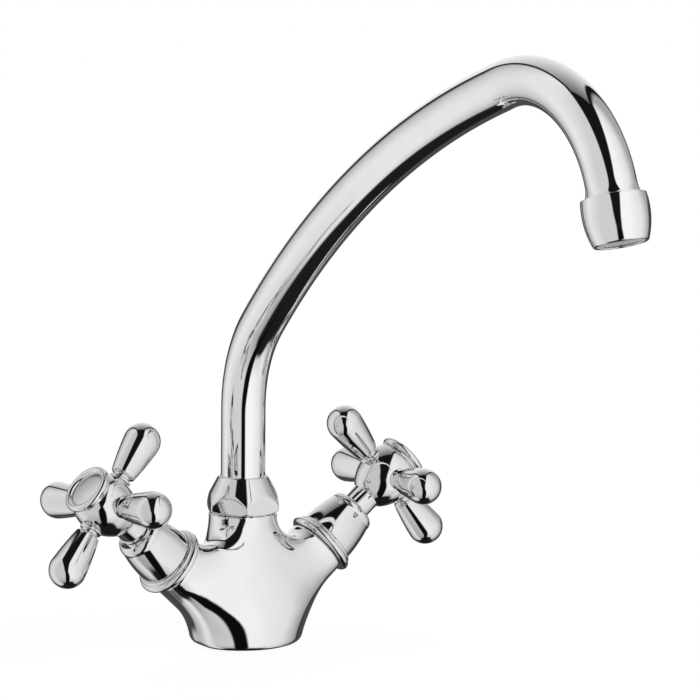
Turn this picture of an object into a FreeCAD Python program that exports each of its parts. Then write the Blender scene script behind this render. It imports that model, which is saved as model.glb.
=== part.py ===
import FreeCAD, Part
import math
import os

# A two-handle mixer tap for a kitchen sink, made to stand in one hole of the deck.
# All lengths are millimetres and all angles are degrees.
#
# Frame: the origin is the centre of the foot's underside, on the deck. +Z is up. The spout
# reaches towards -Y, and the hot side is at -X. Each arm piece is modelled upright, with its
# length along +Z counted from the point where the arm's axis meets the body's axis, and is
# then carried out to its side.

Vector = FreeCAD.Vector
ORIGIN = Vector(0, 0, 0)
X_AXIS = Vector(1, 0, 0)
Y_AXIS = Vector(0, 1, 0)
UP = Vector(0, 0, 1)
HOT = -1
COLD = 1
FAR = 400.0

# Fits
running_gap = 0.06          # radial, round a shaft that turns
slip_gap = 0.1              # between flat faces that slide on each other
thread_gap = 0.05           # radial, between a screw and its hole
seat_gap = 0.02             # under a sealing ring in its groove
turning_gap = 0.3           # open joint under a piece that turns in sight

# Body casting
foot_radius = 22.5
foot_edge_radius = 2.5
foot_wall_height = 6.0
neck_radius = 14.0
neck_height = 53.6          # shoulder that carries the spout nut
neck_length = 5.0           # straight part of the neck under that shoulder
socket_thread_radius = 12.0
socket_thread_length = 7.4
socket_wall = 2.4
mixing_radius = 6.5
mixing_floor_height = 35.0
crotch_radius = 9.5         # soft fillet where the arms leave the body

# Arms of the body
arm_elevation = 40.3        # above the deck
arm_sweep = 4.0             # forward, towards the user
arm_root_height = 5.7       # where the arm axes meet the body's axis
arm_root_radius = 13.6
arm_mouth_radius = 13.0
arm_length = 46.7           # from the body's axis to the arm's mouth

# Water ways
port_spacing = 17.0         # between the two hose ports
port_setback = 3.0          # behind the body's axis
port_radius = 4.5           # M10 x 1 thread, to its crest
port_depth = 12.0
feed_radius = 4.0
feed_start = 9.0
mixed_way_radius = 3.0
mixed_way_reach = 35.6      # along the arm, where the way meets the valve chamber
mixed_way_height = 41.0     # on the body's axis

# Fixing to the deck
stud_radius = 3.4           # M8 thread, to its crest
stud_depth = 14.0
stud_setforward = 9.5       # in front of the body's axis
gasket_outer_radius = 19.2
gasket_width = 2.6
gasket_height = 2.2
gasket_gap = 0.1

# Valve chamber and seat, along the arm
chamber_depth = 14.7        # from the arm's mouth to the chamber's floor
chamber_radius = 9.6
seat_radius = 6.6
seat_bore_radius = 4.4
seat_sink = 3.0             # into the chamber's floor
seat_height = 4.0

# Valve plunger, which slides along the arm
valve_lift = 5.0
washer_radius = 6.6
washer_thickness = 3.0
washer_hole_radius = 1.7
washer_screw_radius = 1.6
washer_screw_length = 5.4
washer_screw_head_radius = 3.0
washer_screw_head_height = 1.5
plunger_cup_wall = 0.7
plunger_cup_depth = 1.5
plunger_disc_thickness = 1.5
plunger_flats = 10.0
plunger_stem_length = 12.4
plunger_web = 1.9           # solid end of the stem under its thread
stroke_margin = 1.5         # left beyond the fully open plunger

# Bonnet that carries the spindle
bonnet_thread_radius = 10.3
bonnet_thread_length = 8.0
bonnet_washer_thickness = 1.0
bonnet_flange_radius = 11.6
bonnet_flange_thickness = 3.0
bonnet_hex_flats = 17.0
bonnet_hex_height = 6.8
bonnet_neck_radius = 7.2
bonnet_neck_length = 9.0
bonnet_nose_radius = 5.0
bonnet_nose_length = 2.7
bonnet_cup_radius = 7.8     # room for the plunger's cup
guide_margin = 0.6

# Spindle, which turns in the bonnet and drives the plunger by its screw
spindle_radius = 3.9
spindle_screw_radius = 3.2
spindle_collar_radius = 5.0
spindle_collar_thickness = 1.5
spindle_square_flats = 5.4
spindle_square_rise = 2.8   # from the bonnet's nose to the square
spindle_square_length = 13.0
spindle_seal_section = 0.5
spindle_seal_rises = (3.0, 6.5)     # above the spindle's collar
clip_thickness = 0.7
clip_depth = 0.45
clip_outer_radius = 4.75

# Trim ring and bell cover on each arm
bead_section = 1.66
bead_radius = 13.24
fine_bead_section = 0.85
fine_bead_radius = 12.75
fine_bead_sink = 0.35       # of its centre, from the coarse bead's top
trim_ring_bore_gap = 0.2
cover_foot_radius = 12.3
cover_waist_radius = 11.75
cover_shoulder_radius = 10.1
cover_top_radius = 8.2
cover_waist_rise = 7.1      # above the cover's foot
cover_shoulder_drop = 3.4   # below the cover's top
cover_shoulder_bulge = 0.5  # of the rounded shoulder, out from its chord
cover_corner_width = 0.45   # inside, where the plate meets the wall
cover_plate_thickness = 3.1
cover_wall = 1.1

# Handle hub, from the end of its neck outwards
hub_neck_radius = 6.15
hub_neck_length = 6.8
hub_cup_radius = 7.7
hub_cup_rise = 8.1
hub_swell_radius = 10.9     # half way between the cup's edge and the belly
hub_belly_radius = 12.1
hub_belly_rise = 19.2       # the plane of the four lobes
hub_brow_radius = 11.7
hub_brow_rise = 23.3
hub_front_radius = 10.6
hub_front_rise = 26.6
hub_waist_radius = 9.3
hub_waist_rise = 28.1
hub_length = 28.9
hub_bore_gap = 0.3
hub_clip_room = 1.3
hub_clip_gap = 0.45
hub_square_gap = 0.05
hub_web = 4.0               # between the spindle's end and the screw's seat
hub_end_gap = 1.0
hub_recess_radius = 7.6
hub_recess_depth = 4.5
handle_screw_radius = 1.95
handle_screw_length = 12.0
handle_screw_head_radius = 3.6
handle_screw_head_height = 2.4
screw_slot_width = 0.8
screw_slot_depth = 1.0

# Lobes of the handle, along each lobe from the hub's axis
lobe_count = 4
lobe_tip_radius = 7.55
lobe_tip_centre = 30.84
lobe_tip_taper = 6.0        # of the flank where it meets the round tip
lobe_middle_radius = 6.45
lobe_middle_spot = 22.0
lobe_root_radius = 5.0
lobe_root_spot = 14.6
lobe_neck_radius = 3.5
lobe_neck_length = 0.9
lobe_collar_radius = 4.6
lobe_collar_width = 1.4
lobe_collar_round = 0.6
lobe_collar_sink = 0.6      # into the hub's spot face
lobe_stud_radius = 2.4
lobe_stud_length = 2.6
hot_rest_turn = -5.7        # of the closed handle's first lobe, from straight up to the front
cold_rest_turn = 0.0

# Cap in the handle's front
bezel_radius = 10.6
bezel_height = 3.0
bezel_rim_width = 1.1
bezel_plate_thickness = 1.0
bezel_skirt_length = 3.4
bezel_bore_radius = 5.0
cap_radius = 7.7
cap_edge_height = 1.3
cap_dome_height = 0.9
cap_stem_radius = 4.7
cap_stem_length = 3.0

# Spout nut
nut_flats = 28.0
nut_height = 15.1
nut_bore_gap = 0.25
nut_lip_width = 0.75
nut_cone_angle = 28.0       # of the cone's side from the nut's axis
nut_rim_radius = 13.9
nut_rim_height = 2.0
nut_turn = -25.7            # of one corner, from the front
slip_washer_thickness = 0.9

# Spout spigot in the socket
spigot_depth = 16.5
spigot_bore_radius = 6.0
spigot_flange_thickness = 1.9
spigot_flange_step = 1.3    # inside the socket's thread
nut_pocket_gap = 0.3        # radial, round the flange
spigot_plug_length = 10.0
spigot_seal_section = 0.85
spigot_seal_depths = (4.5, 11.0)

# Spout tube: a riser, a low bend, a long easy bend and the end bend over the outlet
tube_radius = 9.15
tube_wall = 1.0
riser_top = 96.5
low_bend_radius = 54.5
low_bend_heading = 48.0     # above the deck, where the low bend ends
long_bend_radius = 367.0
long_bend_heading = 17.8
end_bend_radius = 49.7
outlet_heading = -72.8
flare_radius = 10.2
flare_length = 2.8          # the tube's last stretch, which is straight
flare_hollow = 0.25         # of the flare's side, in from its chord
outlet_thread_step = 0.3
outlet_thread_length = 6.5

# Aerator, along the outlet from the tube's flare
aerator_top_radius = 11.7
aerator_belly_radius = 11.95
aerator_belly_spot = 8.0
aerator_mouth_radius = 9.95
aerator_length = 16.8
aerator_wall = 1.0
aerator_lip_width = 1.5
aerator_lip_height = 1.2
aerator_edge_round = 0.4
aerator_washer_thickness = 1.5
aerator_washer_width = 1.8
insert_wall = 1.2
insert_flange_thickness = 1.0
insert_floor_thickness = 1.4
insert_hole_radius = 0.9
insert_hole_ring = 4.6
insert_hole_count = 10
screen_thickness = 0.5
screen_rise = 0.9           # above the insert's lower edge
screen_rim = 0.6
screen_pitch = 2.3
screen_hole_radius = 0.85

# Places that follow from the sizes above
socket_top = neck_height + socket_thread_length
socket_radius = socket_thread_radius - socket_wall
spigot_radius = socket_radius - running_gap
tube_bore_radius = tube_radius - tube_wall
flange_bottom = socket_top + slip_gap
tube_start = flange_bottom + spigot_flange_thickness
flange_radius = socket_thread_radius - spigot_flange_step
slip_washer_bottom = tube_start + slip_gap
nut_shoulder = slip_washer_bottom + slip_washer_thickness
nut_bore_radius = tube_radius + nut_bore_gap
chamber_floor = arm_length - chamber_depth
seat_bottom = chamber_floor - seat_sink
washer_bottom = seat_bottom + seat_height + slip_gap
washer_top = washer_bottom + washer_thickness
plunger_disc_top = washer_top + plunger_disc_thickness
plunger_cup_bore = washer_radius + running_gap
plunger_cup_radius = plunger_cup_bore + plunger_cup_wall
plunger_bore_floor = plunger_disc_top + plunger_web
plunger_top = plunger_disc_top + plunger_stem_length
bonnet_bottom = arm_length - bonnet_thread_length
bonnet_seat = arm_length + bonnet_washer_thickness
bonnet_flange_top = bonnet_seat + bonnet_flange_thickness
bonnet_hex_top = bonnet_flange_top + bonnet_hex_height
bonnet_shoulder = bonnet_hex_top + bonnet_neck_length
bonnet_top = bonnet_shoulder + bonnet_nose_length
guide_bottom = plunger_disc_top + valve_lift + guide_margin
spindle_screw_start = plunger_bore_floor + valve_lift + stroke_margin
collar_bottom = plunger_top + valve_lift + stroke_margin
collar_top = collar_bottom + spindle_collar_thickness
spindle_bore_radius = spindle_radius + running_gap
spindle_square_start = bonnet_top + spindle_square_rise
spindle_end = spindle_square_start + spindle_square_length
clip_bottom = bonnet_top + slip_gap
bead_spot = arm_length + bead_section
fine_bead_spot = bead_spot + bead_section + fine_bead_sink
cover_bottom = fine_bead_spot + fine_bead_section
cover_top = bonnet_shoulder + cover_plate_thickness
hub_start = cover_top + turning_gap
lobe_plane = hub_start + hub_belly_rise
hub_end = hub_start + hub_length
screw_seat = spindle_end + hub_end_gap + hub_web
lobe_collar_start = hub_belly_radius - lobe_collar_sink
lobe_collar_end = lobe_collar_start + lobe_collar_width
outlet_thread_radius = flare_radius - outlet_thread_step
insert_top = outlet_thread_length + aerator_washer_thickness
insert_radius = aerator_mouth_radius - aerator_wall
insert_bottom = aerator_length - aerator_lip_height


# Building blocks

def spot(radius, height):
    return Vector(radius, 0, height)


def turned(*path):
    """Solid turned about +Z. A step is a point (radius, height), or an arc (via, end)."""
    start = spot(*path[0])
    here = start
    edges = []
    for step in path[1:]:
        if isinstance(step[0], tuple):
            end = spot(*step[1])
            edges.append(Part.Arc(here, spot(*step[0]), end).toShape())
        else:
            end = spot(*step)
            edges.append(Part.makeLine(here, end))
        here = end
    edges.append(Part.makeLine(here, start))
    return Part.Face(Part.Wire(edges)).revolve(ORIGIN, UP, 360)


def rod(radius, bottom, top):
    return Part.makeCylinder(radius, top - bottom, Vector(0, 0, bottom))


def sleeve(outer, inner, bottom, top):
    return turned((inner, bottom), (outer, bottom), (outer, top), (inner, top))


def prism(sides, flats, bottom, top, turn=0.0):
    """Upright bar with flat sides; turn is the angle of one corner from +X."""
    corner_radius = flats / 2 / math.cos(math.pi / sides)
    corners = []
    for index in range(sides + 1):
        angle = math.radians(turn + index * 360 / sides)
        corners.append(Vector(corner_radius * math.cos(angle), corner_radius * math.sin(angle), bottom))
    return Part.Face(Part.makePolygon(corners)).extrude(Vector(0, 0, top - bottom))


def bar(radius, start, end):
    """Round bar between two points in space."""
    run = end - start
    return Part.makeCylinder(radius, run.Length, start, run)


def groove(shaft_radius, section, height):
    """Ring cut round a shaft for a sealing ring."""
    half_width = section + seat_gap
    floor = shaft_radius - 2 * section - seat_gap
    return sleeve(shaft_radius + 1, floor, height - half_width, height + half_width)


def sealing_ring(shaft_radius, section, height):
    return Part.makeTorus(shaft_radius - section, section, Vector(0, 0, height))


def on_arm(shape, side):
    """Carry a piece modelled along +Z out to one arm."""
    placed = shape.copy()
    placed.rotate(ORIGIN, Y_AXIS, side * (90 - arm_elevation))
    placed.rotate(ORIGIN, UP, -side * arm_sweep)
    placed.translate(Vector(0, 0, arm_root_height))
    return placed


def arm_point(side, length):
    """Point on an arm's axis."""
    reach = length * math.cos(math.radians(arm_elevation))
    sweep = math.radians(arm_sweep)
    rise = arm_root_height + length * math.sin(math.radians(arm_elevation))
    return Vector(side * reach * math.cos(sweep), -reach * math.sin(sweep), rise)


def save(node, shape):
    shape.exportStep("parts/" + node + ".step")


# Body casting

def body_core():
    """Foot, cone and neck, turned about the body's axis."""
    round_centre = foot_radius - foot_edge_radius
    slant = foot_edge_radius * math.sqrt(0.5)
    edge_middle = (round_centre + slant, foot_edge_radius - slant)
    return turned(
        (0, 0),
        (round_centre, 0),
        (edge_middle, (foot_radius, foot_edge_radius)),
        (foot_radius, foot_wall_height),
        (neck_radius, neck_height - neck_length),
        (neck_radius, neck_height),
        (0, neck_height),
    )


def arm_blank(side):
    below_deck = Part.makeBox(2 * FAR, 2 * FAR, FAR, Vector(-FAR, -FAR, -FAR))
    return on_arm(Part.makeCone(arm_root_radius, arm_mouth_radius, arm_length), side).cut(below_deck)


def body_blank():
    """Foot, cone and arms in one, with soft fillets where they meet."""
    blank = body_core().fuse([arm_blank(HOT), arm_blank(COLD)]).removeSplitter()
    meetings = [edge for edge in blank.Edges if edge.Curve.TypeId == "Part::GeomBSplineCurve"]
    return blank.makeFillet(crotch_radius, meetings)


def valve_bore(side):
    """Feed way, seat pocket, valve chamber and bonnet thread, along one arm."""
    bore = rod(feed_radius, feed_start, chamber_floor)
    bore = bore.fuse([
        rod(seat_radius + thread_gap, seat_bottom, chamber_floor),
        rod(chamber_radius, chamber_floor, bonnet_bottom),
        rod(bonnet_thread_radius + thread_gap, bonnet_bottom, arm_length + 1),
    ])
    return on_arm(bore, side)


def hose_port(side):
    """Threaded port for a supply hose, and the way up from it to the feed way."""
    place = Vector(side * port_spacing / 2, port_setback, -1)
    feed_height = arm_point(side, feed_start).z + feed_radius
    thread = Part.makeCylinder(port_radius, port_depth + 1, place)
    return thread.fuse(Part.makeCylinder(feed_radius, feed_height + 1, place))


def mixed_way(side):
    """Drilled way from a valve chamber to the mixing chamber."""
    return bar(mixed_way_radius, Vector(0, 0, mixed_way_height), arm_point(side, mixed_way_reach))


def body_casting():
    socket_floor = flange_bottom - spigot_depth - turning_gap
    body = body_blank().fuse(rod(socket_thread_radius, neck_height - neck_length, socket_top))
    cuts = [
        rod(socket_radius, socket_floor, socket_top + 1),
        rod(mixing_radius, mixing_floor_height, socket_floor),
        Part.makeCylinder(stud_radius, stud_depth + 1, Vector(0, -stud_setforward, -1)),
        sleeve(gasket_outer_radius, gasket_outer_radius - gasket_width, -1, gasket_height + seat_gap),
    ]
    for side in (HOT, COLD):
        cuts += [valve_bore(side), hose_port(side), mixed_way(side)]
    return body.cut(cuts)


def base_gasket():
    outer = gasket_outer_radius - gasket_gap
    return sleeve(outer, gasket_outer_radius - gasket_width + gasket_gap, 0, gasket_height)


# Spout nut and its washer

def spout_nut():
    """Hexagonal nut with a cone above its flats and a chamfer below them."""
    top = neck_height + nut_height
    lip_radius = nut_bore_radius + nut_lip_width
    corner_radius = nut_flats / math.sqrt(3) + 1
    cone_slope = math.tan(math.radians(nut_cone_angle))
    cone_bottom = top - (corner_radius - lip_radius) / cone_slope
    envelope = turned(
        (0, neck_height),
        (nut_rim_radius, neck_height),
        (corner_radius, neck_height + nut_rim_height),
        (corner_radius, cone_bottom),
        (lip_radius, top),
        (0, top),
    )
    bar_of_nut = prism(6, nut_flats, neck_height, top, nut_turn - 90)
    return bar_of_nut.common(envelope).cut([
        rod(socket_thread_radius + thread_gap, neck_height, socket_top),
        rod(flange_radius + nut_pocket_gap, socket_top, nut_shoulder),
        rod(nut_bore_radius, nut_shoulder, top),
    ])


def spout_slip_washer():
    return sleeve(flange_radius, nut_bore_radius, slip_washer_bottom, nut_shoulder)


# Valves

def valve_seat():
    return sleeve(seat_radius, seat_bore_radius, seat_bottom, seat_bottom + seat_height)


def valve_washer():
    return sleeve(washer_radius, washer_hole_radius, washer_bottom, washer_top)


def washer_screw():
    head = rod(washer_screw_head_radius, washer_bottom - washer_screw_head_height, washer_bottom)
    return head.fuse(rod(washer_screw_radius, washer_bottom, washer_bottom + washer_screw_length))


def plunger():
    """Cup that holds the washer, and a hexagonal stem with the spindle's thread in it."""
    screw_end = washer_bottom + washer_screw_length
    cup = rod(plunger_cup_radius, washer_top - plunger_cup_depth, plunger_disc_top)
    stem = prism(6, plunger_flats, plunger_disc_top, plunger_top)
    return cup.fuse(stem).cut([
        rod(plunger_cup_bore, washer_top - plunger_cup_depth, washer_top),
        rod(washer_screw_radius + thread_gap, washer_top, screw_end + slip_gap),
        rod(spindle_screw_radius + thread_gap, plunger_bore_floor, plunger_top),
    ])


def bonnet():
    """Brass headwork: thread, flange, hexagon, neck and nose, with the plunger's guide inside."""
    outside = rod(bonnet_thread_radius, bonnet_bottom, bonnet_seat)
    outside = outside.fuse([
        rod(bonnet_flange_radius, bonnet_seat, bonnet_flange_top),
        prism(6, bonnet_hex_flats, bonnet_flange_top, bonnet_hex_top),
        rod(bonnet_neck_radius, bonnet_hex_top, bonnet_shoulder),
        rod(bonnet_nose_radius, bonnet_shoulder, bonnet_top),
    ])
    return outside.cut([
        rod(bonnet_cup_radius, bonnet_bottom, guide_bottom),
        prism(6, plunger_flats + 2 * slip_gap, guide_bottom, collar_top + running_gap),
        rod(spindle_bore_radius, collar_top, bonnet_top),
    ])


def bonnet_washer():
    return sleeve(bonnet_flange_radius, bonnet_thread_radius + thread_gap, arm_length, bonnet_seat)


# Spindle

def spindle():
    """Screw, collar, shaft and square, with the sealing grooves and the clip's groove."""
    screw_room = rod(
        handle_screw_radius + thread_gap,
        screw_seat - handle_screw_length - slip_gap,
        spindle_end + 1,
    )
    shaft = rod(spindle_screw_radius, spindle_screw_start, collar_bottom)
    shaft = shaft.fuse([
        rod(spindle_collar_radius, collar_bottom, collar_top),
        rod(spindle_radius, collar_top, spindle_square_start),
        prism(4, spindle_square_flats, spindle_square_start, spindle_end, 45),
    ])
    clip_groove = sleeve(
        spindle_radius + 1,
        spindle_radius - clip_depth,
        clip_bottom - seat_gap,
        clip_bottom + clip_thickness + seat_gap,
    )
    cuts = [screw_room, clip_groove]
    for rise in spindle_seal_rises:
        cuts.append(groove(spindle_radius, spindle_seal_section, collar_top + rise))
    return shaft.cut(cuts)


def spindle_seals():
    return Part.makeCompound([
        sealing_ring(spindle_radius, spindle_seal_section, collar_top + rise)
        for rise in spindle_seal_rises
    ])


def spindle_clip():
    inner = spindle_radius - clip_depth + seat_gap
    return sleeve(clip_outer_radius, inner, clip_bottom, clip_bottom + clip_thickness)


# Trim of the arms

def trim_ring():
    """Ring of two beads that closes the joint between the arm and its cover."""
    bore_radius = bonnet_flange_radius + trim_ring_bore_gap
    ring = sleeve(fine_bead_radius, bore_radius, arm_length, cover_bottom).fuse([
        Part.makeTorus(bead_radius, bead_section, Vector(0, 0, bead_spot)),
        Part.makeTorus(fine_bead_radius, fine_bead_section, Vector(0, 0, fine_bead_spot)),
    ])
    return ring.cut(rod(bore_radius, arm_length - 1, cover_bottom + 1))


def arm_cover():
    """Bell over the bonnet: convex side, rounded shoulder and a plate on the bonnet's neck."""
    waist_spot = cover_bottom + cover_waist_rise
    shoulder_spot = cover_top - cover_shoulder_drop
    hole_radius = bonnet_nose_radius + thread_gap
    round_via = (
        (cover_shoulder_radius + cover_top_radius) / 2 + cover_shoulder_bulge,
        (shoulder_spot + cover_top) / 2 + cover_shoulder_bulge,
    )
    inner_shoulder = min(shoulder_spot, bonnet_shoulder - seat_gap)
    wall_top = cover_shoulder_radius - cover_wall
    return turned(
        (cover_foot_radius, cover_bottom),
        ((cover_waist_radius, waist_spot), (cover_shoulder_radius, shoulder_spot)),
        (round_via, (cover_top_radius, cover_top)),
        (hole_radius, cover_top),
        (hole_radius, bonnet_shoulder),
        (wall_top - cover_corner_width, bonnet_shoulder),
        (wall_top, inner_shoulder),
        ((cover_waist_radius - cover_wall, waist_spot), (cover_foot_radius - cover_wall, cover_bottom)),
    )


# Handle

def lobe_angle(side, rest_turn, index):
    """Direction of a lobe round its arm, from the arm's own X axis."""
    turn = rest_turn + index * 360 / lobe_count
    if side == COLD:
        return 180 + turn
    return -turn


def on_lobe(shape, side, rest_turn, index):
    """Carry a piece modelled along +Z to one lobe of a handle."""
    placed = shape.copy()
    placed.rotate(ORIGIN, Y_AXIS, 90)
    placed.rotate(ORIGIN, UP, lobe_angle(side, rest_turn, index))
    placed.translate(Vector(0, 0, lobe_plane))
    return on_arm(placed, side)


def lobe():
    """Teardrop with a neck, a collar on the hub and a stud into it."""
    taper = math.radians(lobe_tip_taper)
    flank_radius = lobe_tip_radius * math.cos(taper)
    flank_end = lobe_tip_centre - lobe_tip_radius * math.sin(taper)
    slant = lobe_tip_radius * math.sqrt(0.5)
    tip = lobe_tip_centre + lobe_tip_radius
    neck_end = lobe_collar_end + lobe_neck_length
    return turned(
        (0, lobe_collar_start - lobe_stud_length),
        (lobe_stud_radius, lobe_collar_start - lobe_stud_length),
        (lobe_stud_radius, lobe_collar_start),
        (lobe_collar_radius, lobe_collar_start),
        (lobe_collar_radius, lobe_collar_end - lobe_collar_round),
        (lobe_collar_radius - lobe_collar_round, lobe_collar_end),
        (lobe_neck_radius, lobe_collar_end),
        (lobe_neck_radius, neck_end),
        (lobe_root_radius, lobe_root_spot),
        ((lobe_middle_radius, lobe_middle_spot), (flank_radius, flank_end)),
        ((slant, lobe_tip_centre + slant), (0, tip)),
    )


def handle_hub(side, rest_turn):
    """Cup-shaped hub with its neck, the square for the spindle and a socket for each lobe."""
    swell_rise = (hub_cup_rise + hub_belly_rise) / 2
    outside = turned(
        (0, hub_start),
        (hub_neck_radius, hub_start),
        (hub_neck_radius, hub_start + hub_neck_length),
        (hub_cup_radius, hub_start + hub_cup_rise),
        ((hub_swell_radius, hub_start + swell_rise), (hub_belly_radius, lobe_plane)),
        ((hub_brow_radius, hub_start + hub_brow_rise), (hub_front_radius, hub_start + hub_front_rise)),
        (hub_waist_radius, hub_start + hub_waist_rise),
        (hub_waist_radius, hub_end),
        (0, hub_end),
    )
    hub = on_arm(outside.cut([
        rod(clip_outer_radius + hub_clip_gap, hub_start, hub_start + hub_clip_room),
        rod(spindle_radius + hub_bore_gap, hub_start, spindle_square_start),
        prism(4, spindle_square_flats + 2 * hub_square_gap, hub_start, spindle_end + hub_end_gap, 45),
        rod(handle_screw_radius + slip_gap, spindle_end, screw_seat),
        rod(handle_screw_head_radius + hub_bore_gap, screw_seat, hub_end),
        rod(hub_recess_radius, hub_end - hub_recess_depth, hub_end),
    ]), side)
    socket = rod(lobe_stud_radius + thread_gap, lobe_collar_start - lobe_stud_length - slip_gap, FAR)
    spot_face = rod(lobe_collar_radius + thread_gap, lobe_collar_start, hub_belly_radius + 1)
    for index in range(lobe_count):
        hub = hub.cut(on_lobe(socket.fuse(spot_face), side, rest_turn, index))
    return hub


def handle_screw():
    head = rod(handle_screw_head_radius, screw_seat, screw_seat + handle_screw_head_height)
    head_top = screw_seat + handle_screw_head_height
    corner = Vector(-handle_screw_head_radius, -screw_slot_width / 2, head_top - screw_slot_depth)
    slot = Part.makeBox(2 * handle_screw_head_radius, screw_slot_width, screw_slot_depth, corner)
    return head.fuse(rod(handle_screw_radius, screw_seat - handle_screw_length, screw_seat)).cut(slot)


def cap_bezel():
    """Rounded rim round the cap, with a skirt that presses into the hub."""
    top = hub_end + bezel_height
    skirt_radius = hub_recess_radius - thread_gap
    plate_top = hub_end + bezel_plate_thickness
    rim_inner = bezel_radius - bezel_rim_width
    pocket_radius = cap_radius + thread_gap
    return turned(
        (bezel_bore_radius, hub_end - bezel_skirt_length),
        (skirt_radius, hub_end - bezel_skirt_length),
        (skirt_radius, hub_end),
        (hub_waist_radius, hub_end),
        ((bezel_radius, hub_end + bezel_height / 2), (rim_inner, top)),
        (pocket_radius, plate_top + cap_edge_height),
        (pocket_radius, plate_top),
        (bezel_bore_radius, plate_top),
    )


def handle_cap():
    """Plain domed cap with a stem into the bezel."""
    bottom = hub_end + bezel_plate_thickness
    edge_top = bottom + cap_edge_height
    dome_radius = (cap_radius ** 2 + cap_dome_height ** 2) / (2 * cap_dome_height)
    half_way = cap_radius / 2
    dome_centre = edge_top + cap_dome_height - dome_radius
    via = (half_way, dome_centre + math.sqrt(dome_radius ** 2 - half_way ** 2))
    return turned(
        (0, bottom - cap_stem_length),
        (cap_stem_radius, bottom - cap_stem_length),
        (cap_stem_radius, bottom),
        (cap_radius, bottom),
        (cap_radius, edge_top),
        (via, (0, edge_top + cap_dome_height)),
    )


# Spout

def spout_point(along, height):
    """Point in the spout's plane, so far forward of the body's axis."""
    return Vector(0, -along, height)


def below(heading):
    """Unit vector square to a heading, on its lower side."""
    angle = math.radians(heading)
    return spout_point(math.sin(angle), -math.cos(angle))


def forward(heading):
    angle = math.radians(heading)
    return spout_point(math.cos(angle), math.sin(angle))


def bend_centre(start, heading, radius):
    return start + below(heading) * radius


def spout_run():
    """Each bend of the tube: where it starts, its heading there, its heading at the end, its radius."""
    here = spout_point(0, riser_top)
    heading = 90.0
    run = []
    for end_heading, radius in spout_bends:
        run.append((here, heading, end_heading, radius))
        here = bend_centre(here, heading, radius) - below(end_heading) * radius
        heading = end_heading
    return run, here + forward(outlet_heading) * flare_length


spout_bends = (
    (low_bend_heading, low_bend_radius),
    (long_bend_heading, long_bend_radius),
    (outlet_heading, end_bend_radius),
)
tube_run, outlet_middle = spout_run()


def tube_section(place, heading):
    """Ring across the tube's wall, square to its run."""
    outer = Part.makeCircle(tube_radius, place, forward(heading))
    inner = Part.makeCircle(tube_bore_radius, place, forward(heading))
    return Part.Face([Part.Wire(outer), Part.Wire(inner)])


def at_outlet(shape):
    """Carry a piece modelled along +Z to the outlet, with its +Z along the water."""
    placed = shape.copy()
    placed.rotate(ORIGIN, X_AXIS, 90 - outlet_heading)
    placed.translate(outlet_middle)
    return placed


def spout_tube():
    """Bent tube with a flare at its outlet and the thread that carries the aerator."""
    flare_via = ((tube_radius + flare_radius) / 2 - flare_hollow, -flare_length / 2)
    flare = turned(
        (tube_bore_radius, -flare_length),
        (tube_radius, -flare_length),
        (flare_via, (flare_radius, 0)),
        (outlet_thread_radius, 0),
        (outlet_thread_radius, outlet_thread_length),
        (tube_bore_radius, outlet_thread_length),
    )
    pieces = [at_outlet(flare)]
    for start, heading, end_heading, bend_radius in tube_run:
        centre = bend_centre(start, heading, bend_radius)
        section = tube_section(start, heading)
        pieces.append(section.revolve(centre, X_AXIS, heading - end_heading))
    return sleeve(tube_radius, tube_bore_radius, tube_start, riser_top).fuse(pieces)


def spout_spigot():
    """Turned spigot: sealed in the socket, held by its flange under the nut, plugged into the tube."""
    outside = rod(spigot_radius, flange_bottom - spigot_depth, flange_bottom).fuse([
        rod(flange_radius, flange_bottom, tube_start),
        rod(tube_bore_radius - thread_gap, tube_start, tube_start + spigot_plug_length),
    ])
    cuts = [rod(spigot_bore_radius, flange_bottom - spigot_depth, tube_start + spigot_plug_length)]
    for depth in spigot_seal_depths:
        cuts.append(groove(spigot_radius, spigot_seal_section, flange_bottom - depth))
    return outside.cut(cuts)


def spout_seals():
    return Part.makeCompound([
        sealing_ring(spigot_radius, spigot_seal_section, flange_bottom - depth)
        for depth in spigot_seal_depths
    ])


# Aerator, modelled along the outlet

def aerator_housing():
    """Barrel with the thread for the tube at its top and a lip under the insert."""
    belly = (aerator_belly_radius, aerator_belly_spot)
    mouth_edge = (aerator_mouth_radius, aerator_length - aerator_edge_round)
    thread_bore = outlet_thread_radius + thread_gap
    insert_bore = insert_radius + thread_gap
    ledge = insert_top + insert_flange_thickness
    lip_radius = aerator_mouth_radius - aerator_lip_width
    return at_outlet(turned(
        (aerator_top_radius, 0),
        (belly, mouth_edge),
        (aerator_mouth_radius - aerator_edge_round, aerator_length),
        (lip_radius, aerator_length),
        (lip_radius, insert_bottom),
        (insert_bore, insert_bottom),
        (insert_bore, ledge),
        (thread_bore, ledge),
        (thread_bore, 0),
    ))


def aerator_washer():
    outer = outlet_thread_radius
    return at_outlet(sleeve(outer, outer - aerator_washer_width, outlet_thread_length, insert_top))


def aerator_insert():
    """Moulded cage with a ring of jets in its floor."""
    bore_radius = insert_radius - insert_wall
    cage = rod(insert_radius, insert_top, insert_bottom)
    cage = cage.fuse(rod(outlet_thread_radius, insert_top, insert_top + insert_flange_thickness))
    cuts = [rod(bore_radius, insert_top + insert_floor_thickness, insert_bottom)]
    for index in range(insert_hole_count):
        angle = 2 * math.pi * index / insert_hole_count
        jet = rod(insert_hole_radius, insert_top - 1, insert_top + insert_floor_thickness + 1)
        jet.translate(Vector(insert_hole_ring * math.cos(angle), insert_hole_ring * math.sin(angle), 0))
        cuts.append(jet)
    return at_outlet(cage.cut(cuts))


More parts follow.
